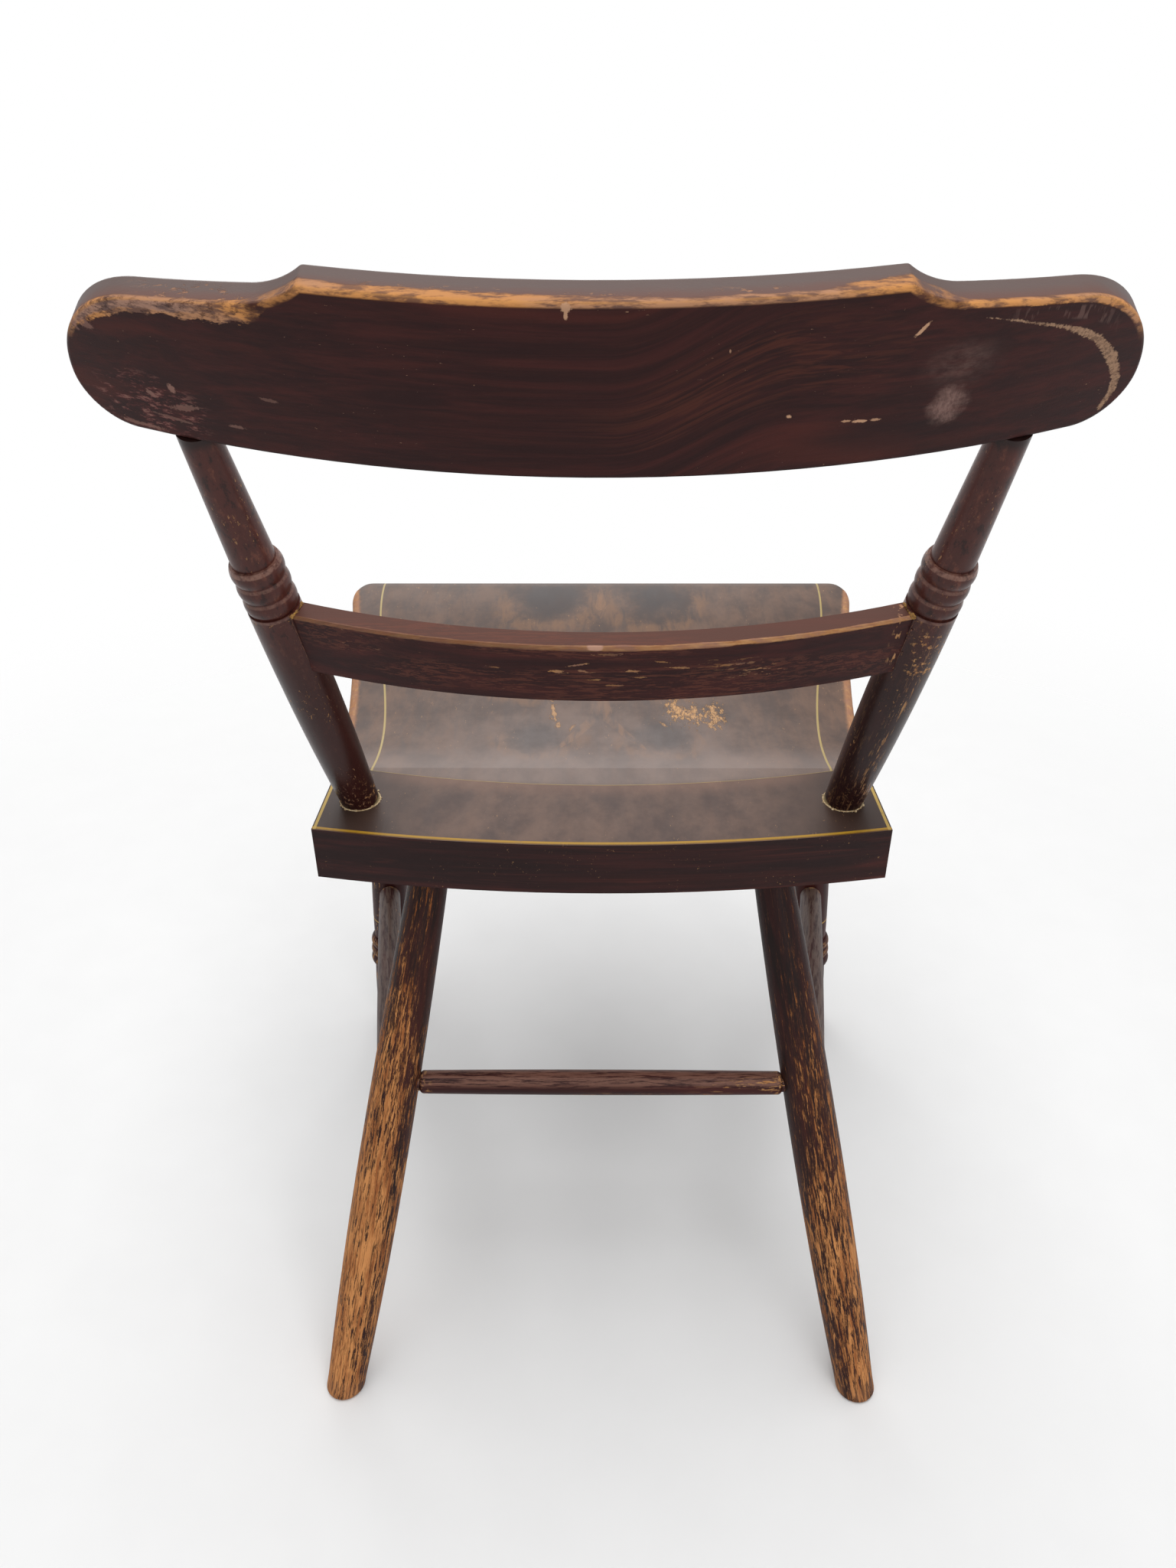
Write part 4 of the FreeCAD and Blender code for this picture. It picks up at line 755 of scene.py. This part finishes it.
def wornLegPaint(name, side):
    material, start = startFinish("wornLegPaint_" + name)
    origin, turn = axisFrame(mirrored(rearLeg["foot"], side), mirrored(rearLeg["top"], side))
    point = surfacePoint(start, origin, turn)
    z = point.parts()[2]
    wear = rearLeg["paintLeft"][name]
    colour, streaks = grainedPaint(point.shifted((side * 70, 0, 0)), (1, 1, 0.08))
    colour = (streaks.rise(0.6, 0.35) * 0.4 + 0.45).blend(colour, rearLeg["nearBlack"])
    fibre = point.stretched(1, 1, 0.1).cloud(1.7, detail=5, rough=0.78)
    patches = point.stretched(1, 1, 0.3).cloud(17, detail=3, rough=0.6)
    outward = facing(start)[0] * side
    keep = wear["top"] + (wear["middle"] - wear["top"]) * z.rise(380, 270)
    keep = keep + (wear["low"] - wear["middle"]) * z.rise(230, 130)
    keep = keep + outward.rise(-0.2, -0.8) * wear["inner"] + z.rise(90, 20) * 0.02
    mixed = fibre * 0.8 + patches * 0.2
    bareMask = mixed.rise(keep, keep + 0.035)
    thinned = mixed.rise(keep - 0.08, keep + 0.02) * 0.4
    dirty = point.stretched(1, 1, 0.1).cloud(3.4, detail=4, rough=0.7)
    bare = dirty.rise(0.42, 0.68).blend(rearLeg["bareLight"], rearLeg["bareDark"])
    lines = point.shifted((5, 0, 70)).stretched(1, 1, 0.06).cloud(1.3, detail=3, rough=0.7)
    bare = (lines.rise(0.52, 0.62) * 0.7).blend(bare, rearLeg["grainLines"])
    colour = thinned.blend(colour, rearLeg["thinPaint"])
    colour = bareMask.blend(colour, bare)
    foot = z.rise(16, 2) * patches.rise(0.35, 0.6)
    colour = (foot * 0.5).blend(colour, rearLeg["footTint"])
    rough = 0.36 + streaks * 0.14 + bareMask * 0.28
    height = fibre * 0.5 - bareMask * 0.6
    return endFinish(material, start, colour, rough, height, 0.0004, None, sheens["frame"])


frontLeg = {
    "foot": (0.2190, -0.17938, 0), "top": (0.1855, -0.17638, 0.413382),
    "ankle": 110, "upper": 334, "lineAbove": 24, "line": 0.7,
}


def frontLegPaint(name, side):
    material, start = startFinish("frontLegPaint_" + name)
    origin, turn = axisFrame(mirrored(frontLeg["foot"], side), mirrored(frontLeg["top"], side))
    point = surfacePoint(start, origin, turn)
    x, y, z = point.parts()
    radius = (x * x + y * y).root()
    colour, streaks = grainedPaint(point.shifted((side * 20, 60, 0)), (1, 1, 0.08))
    ragged = point.uneven(3, 4, 0.75)
    ringHigh = radius.rise(17, 18.1)
    ankle = (z - frontLeg["ankle"]).within(20, 3)
    wear = ringHigh * ankle * ragged.rise(-0.1, 0.14) * 0.6
    rubbed = nicks(point.stretched(1, 1, 0.15), 2, 0.58)
    foot = z.rise(34, 4) * ragged.rise(0, 0.14) * 0.8
    chips = wear.most(rubbed * 0.8).most(foot)
    colour = chips.blend(colour, bareWood(point, (1, 1, 0.2)))
    # yellow rings on the front of the turning
    above, line = frontLeg["lineAbove"], frontLeg["line"]
    rings = (z - frontLeg["ankle"] - above).within(line, 0.25)
    rings = rings.most((z - frontLeg["upper"] - above).within(line, 0.25))
    colour = (rings * ragged.rise(-0.34, -0.2)).blend(colour, paint["ochre"])
    rough = 0.34 + streaks * 0.16 + chips * 0.3
    height = streaks * 0.3 - chips * 0.6 + point.cloud(0.9) * 0.12
    return endFinish(material, start, colour, rough, height, 0.0003, None, sheens["frame"])


bar = {
    # scratches: fewer where this is higher. Then the strength and colour of the paler upper side: worn
    # paint and painted sheen
    "side": {"scratches": 0.60, "upperTintAndSheen": (0.55, shade(112, 94, 84)), "stripes": ()},
    "rear": {"scratches": 0.55, "upperTintAndSheen": (0.55, shade(146, 104, 88)), "stripes": ()},
    "front": {"scratches": 0.55, "upperTintAndSheen": (0.3, shade(146, 104, 88)), "stripes": (22, 74)},
    "inset": 0.011,
}


def barPaint(name, low, high, scratches, upperTintAndSheen, stripes):
    # a stretcher, with fine scratches along it and stripes at distances from each end
    material, start = startFinish(name)
    origin, turn = axisFrame(low, high)
    point = surfacePoint(start, origin, turn)
    z = point.parts()[2]
    colour, streaks = grainedPaint(point.shifted((7, 3, 11)), (1, 1, 0.08))
    fibre = point.stretched(1, 1, 0.07).cloud(1.8, detail=4, rough=0.75)
    # paler upper side: worn paint and painted sheen
    level = facing(start)[2].rise(0.1, 0.7) * fibre.rise(0.38, 0.56) * upperTintAndSheen[0]
    colour = level.blend(colour, upperTintAndSheen[1])
    scratch = nicks(point.stretched(1, 1, 0.1), 1.6, scratches)
    ends = (Vector(high) - Vector(low)).length * 500
    nearEnd = (abs(z - ends)).rise(ends - 24, ends - 14) * point.cloud(4, detail=3).rise(0.5, 0.62)
    chips = scratch.most(nearEnd * 0.8)
    colour = chips.blend(colour, bareWood(point, (1, 1, 0.2)))
    for place in stripes:
        line = (abs(z - ends) - place).within(0.8, 0.25) * streaks.rise(0.22, 0.36)
        colour = line.blend(colour, paint["gold"])
    rough = 0.36 + streaks * 0.16 + chips * 0.28
    height = streaks * 0.3 - chips * 0.5 + point.cloud(0.9) * 0.12
    return endFinish(material, start, colour, rough, height, 0.0003, None, sheens["frame"])


for name, side in (("left", 1), ("right", -1)):
    dress("back_post_" + name, postPaint(name, side))
    dress("rear_leg_" + name, wornLegPaint(name, side))
    dress("front_leg_" + name, frontLegPaint(name, side))
    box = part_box("side_stretcher_" + name)
    rearX, frontX = (box[0].x, box[1].x) if side > 0 else (box[1].x, box[0].x)
    low = (rearX, box[1].y, box[1].z - bar["inset"])
    high = (frontX, box[0].y, box[0].z + bar["inset"])
    dress("side_stretcher_" + name, barPaint("sideBarPaint_" + name, low, high, **bar["side"]))
for place in ("rear", "front"):
    name = place + "_stretcher"
    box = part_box(name)
    middle = (box[0] + box[1]) / 2
    low, high = (box[0].x, middle.y, middle.z), (box[1].x, middle.y, middle.z)
    dress(name, barPaint(name + "Paint", low, high, **bar[place]))
print("turned pieces painted")


# Old glue at the joints: a lumpy bead with crumbs, along a path round each joint

glue = {
    "seed": 7, "footSteps": 40, "slatSteps": 12, "slatAlong": 0.1533,
    # each line of glue: bead radius, crumb radius, crumbs
    "foot": (0.00055, 0.0011, 34), "slat": (0.0011, 0.0017, 16), "seam": (0.00025, 0.0007, 10),
    "cream": (shade(206, 186, 150), shade(150, 122, 84)),
    "ochre": (shade(176, 132, 62), shade(104, 70, 34)),
    "brown": (shade(112, 72, 54), shade(52, 28, 24)),
}


def gluePaint(name, light, darker):
    material, start = startFinish(name)
    point = surfacePoint(start)
    mottled = point.cloud(1.6, detail=4, rough=0.7)
    colour = mottled.rise(0.35, 0.7).blend(darker, light)
    return endFinish(material, start, colour, 0.7 + mottled * 0.2, mottled, 0.0004)


def gluePattern(name, material):
    # a tree with named inputs: bead along the path, and crumbs scattered on it
    tree = bpy.data.node_groups.new(name, "GeometryNodeTree")
    face = tree.interface
    face.new_socket("Path", in_out="INPUT", socket_type="NodeSocketGeometry")
    sizes = (("Bead Radius", "Float"), ("Crumb Radius", "Float"), ("Crumb Count", "Int"), ("Seed", "Int"))
    for label, kind in sizes:
        face.new_socket(label, in_out="INPUT", socket_type="NodeSocket" + kind)
    face.new_socket("Glue", in_out="OUTPUT", socket_type="NodeSocketGeometry")
    grid = Wire(tree)
    given = tree.nodes.new("NodeGroupInput")
    inputs = {socket.name: Wire(tree, socket) for socket in given.outputs if socket.name}
    path = grid.node("GeometryNodeMeshToCurve", None, {0: inputs["Path"]})
    place = grid.node("GeometryNodeInputPosition")
    lumps = grid.node("ShaderNodeTexNoise", None, {"Vector": place, "Scale": 420, "Detail": 2})
    thick = lumps * 1.9 + 0.05
    outline = {"Resolution": 6, "Radius": inputs["Bead Radius"]}
    circle = grid.node("GeometryNodeCurvePrimitiveCircle", None, outline)
    swollen = grid.node("GeometryNodeSetCurveRadius", None, {0: path, 2: thick})
    swept = {"Curve": swollen, "Profile Curve": circle, "Fill Caps": True}
    bead = grid.node("GeometryNodeCurveToMesh", None, swept)
    spots = grid.node("GeometryNodeResampleCurve", None, {"Curve": path, "Count": inputs["Crumb Count"]})
    points = grid.node("GeometryNodeCurveToPoints", {"mode": "EVALUATED"}, {0: spots})
    spread = {0: (-0.0009, -0.0009, -0.0002), 1: (0.0009, 0.0009, 0.0005), "Seed": inputs["Seed"]}
    jitter = grid.node("FunctionNodeRandomValue", {"data_type": "FLOAT_VECTOR"}, spread)
    points = grid.node("GeometryNodeSetPosition", None, {"Geometry": points, "Offset": jitter})
    ball = {"Radius": inputs["Crumb Radius"], "Subdivisions": 2}
    crumb = grid.node("GeometryNodeMeshIcoSphere", None, ball)
    scales = {2: 0.15, 3: 0.95, "Seed": inputs["Seed"]}
    size = grid.node("FunctionNodeRandomValue", {"data_type": "FLOAT"}, scales, out=1)
    turn = grid.node("FunctionNodeRandomValue", {"data_type": "FLOAT_VECTOR"},
                     {0: (0, 0, 0), 1: (6.2, 6.2, 6.2), "Seed": inputs["Seed"]})
    crumbs = grid.node("GeometryNodeInstanceOnPoints", None,
                       {"Points": points, "Instance": crumb, "Rotation": turn, "Scale": size})
    both = tree.nodes.new("GeometryNodeJoinGeometry")
    tree.links.new(crumbs.socket, both.inputs[0])
    tree.links.new(bead.socket, both.inputs[0])
    whole = grid.node("GeometryNodeRealizeInstances", None, {0: Wire(tree, both.outputs[0])})
    painted = grid.node("GeometryNodeSetMaterial", None, {"Geometry": whole, "Material": material})
    output = tree.nodes.new("NodeGroupOutput")
    tree.links.new(painted.socket, output.inputs[0])
    return tree


def glueLine(name, tree, path, closed, settings):
    mesh = bpy.data.meshes.new(name + "Path")
    edges = [(index, index + 1) for index in range(len(path) - 1)]
    if closed:
        edges.append((len(path) - 1, 0))
    mesh.from_pydata([tuple(place) for place in path], edges, [])
    source = added(name + "Source", mesh)
    modifier = source.modifiers.new("glue", "NODES")
    modifier.node_group = tree
    for socket in tree.interface.items_tree:
        if socket.in_out == "INPUT" and socket.name in settings:
            modifier[socket.identifier] = settings[socket.name]
    made = bpy.data.meshes.new_from_object(source.evaluated_get(bpy.context.evaluated_depsgraph_get()))
    source.modifiers.remove(modifier)
    bpy.data.objects.remove(source)
    made.name = name
    piece = added(name, made)
    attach(piece, "root")
    return piece


def footPath(side):
    # where the leaning post meets the ledge
    foot, top = Vector(mirrored(post["foot"], side)), Vector(mirrored(post["top"], side))
    axis = (top - foot).normalized()
    across = axis.cross(Vector((0, 1, 0))).normalized()
    along = across.cross(axis)
    normal = Vector((0, -math.sin(math.radians(seat["lean"])), math.cos(math.radians(seat["lean"]))))
    origin = Vector(seat["origin"])
    path = []
    for step in range(glue["footSteps"]):
        angle = step * math.tau / glue["footSteps"]
        place = foot + (across * math.cos(angle) + along * math.sin(angle)) * post["footRadius"]
        place = place + axis * ((origin - place).dot(normal) / axis.dot(normal)) + normal * 0.0001
        path.append(place)
    return path


def slatPaths(side):
    # where the slat's top runs into the post, front to back, and then down its back
    foot, top = Vector(mirrored(post["foot"], side)), Vector(mirrored(post["top"], side))
    axis = (top - foot).normalized()
    middle = foot + axis * glue["slatAlong"]
    bow = math.asin(abs(middle.x) / (slat["bend"] * 0.001))
    lean = math.radians(slat["lean"])
    behind = Vector((0, math.cos(lean), math.sin(lean)))
    out = Vector((side * math.sin(bow), 0, 0)) + behind * math.cos(bow)
    inward = behind * math.sin(bow) - Vector((side * math.cos(bow), 0, 0))
    over = middle + axis * 0.0213
    steps = range(glue["slatSteps"])
    above = [over + out * (step / steps[-1] - 0.45) * 0.0125 + inward * 0.0143 for step in steps]
    down = [middle + axis * (0.021 - step * 0.0035) + out * 0.0071 + inward * 0.0139 for step in steps]
    return above, down


def glueAmounts(kind, seed):
    bead, crumb, count = glue[kind]
    return {"Bead Radius": bead, "Crumb Radius": crumb, "Crumb Count": count, "Seed": seed}


footGlue = gluePattern("footGlue", gluePaint("creamGlue", *glue["cream"]))
slatGlue = gluePattern("slatGlue", gluePaint("ochreGlue", *glue["ochre"]))
seamGlue = gluePattern("seamGlue", gluePaint("brownGlue", *glue["brown"]))
for index, (name, side) in enumerate((("left", 1), ("right", -1))):
    seed = glue["seed"] + index
    above, down = slatPaths(side)
    glueLine("foot_glue_" + name, footGlue, footPath(side), True, glueAmounts("foot", seed))
    glueLine("slat_glue_" + name, slatGlue, above, False, glueAmounts("slat", seed))
    glueLine("slat_seam_" + name, seamGlue, down, False, glueAmounts("seam", seed))
print("joints glued")


# Stage: pale floor, white background, soft lamps

studio = {
    "floor": shade(234, 234, 234), "floorDark": shade(230, 230, 230), "ambient": 0.45, "floorSize": 3,
    "fade": (550, 1500),
    # lamps: name, place, target, width, height, power
    "lamps": [
        ("overhead", (0, 0.1, 2.6), (0, 0, 0.4), 2.4, 2.4, 46),
        ("frontSoft", (0.4, -2.4, 1.7), (0, 0, 0.45), 2, 1.4, 22),
        ("behindCamera", (-0.7, 2.4, 1.7), (0, 0, 0.4), 1.6, 1.4, 22),
    ],
}


def makeStage():
    mesh = bpy.data.meshes.new("floor")
    half = studio["floorSize"]
    corners = [(-half, -half, 0), (half, -half, 0), (half, half, 0), (-half, half, 0)]
    mesh.from_pydata(corners, [], [(0, 1, 2, 3)])
    floor = added("floor", mesh)
    material, start = startFinish("paleFloor")
    point = surfacePoint(start)
    x, y = point.parts()[:2]
    fade = (x * x + y * y).root().rise(studio["fade"][1], studio["fade"][0])
    colour = point.cloud(60, detail=2).blend(studio["floor"], studio["floorDark"])
    endFinish(material, start, colour, point.cloud(30) * 0.1 + 0.8, alpha=fade)
    mesh.materials.append(material)

    world = bpy.data.worlds.new("studio")
    bpy.context.scene.world = world
    world.use_nodes = True
    world.node_tree.nodes.clear()
    start = Wire(world.node_tree)
    path = start.tree.nodes.new("ShaderNodeLightPath")
    rays = ("Camera", "Glossy", "Transmission")
    camera, glossy, through = (Wire(start.tree, path.outputs["Is " + ray + " Ray"]) for ray in rays)
    seen = camera.most(glossy).most(through)
    strength = seen * (1 - studio["ambient"]) + studio["ambient"]
    sky = start.node("ShaderNodeBackground", None, {"Color": (1, 1, 1, 1), "Strength": strength})
    start.node("ShaderNodeOutputWorld", None, {"Surface": sky})


def softLamp(name, place, target, width, height, power):
    light = bpy.data.lights.new(name, "AREA")
    light.shape = "RECTANGLE"
    light.size = width
    light.size_y = height
    light.energy = power
    lamp = added(name, light)
    lamp.location = place
    lamp.rotation_euler = (Vector(target) - Vector(place)).to_track_quat("-Z", "Y").to_euler()


makeStage()
for lamp in studio["lamps"]:
    softLamp(*lamp)
bpy.context.scene.view_settings.view_transform = "Standard"
print("stage and lamps set")
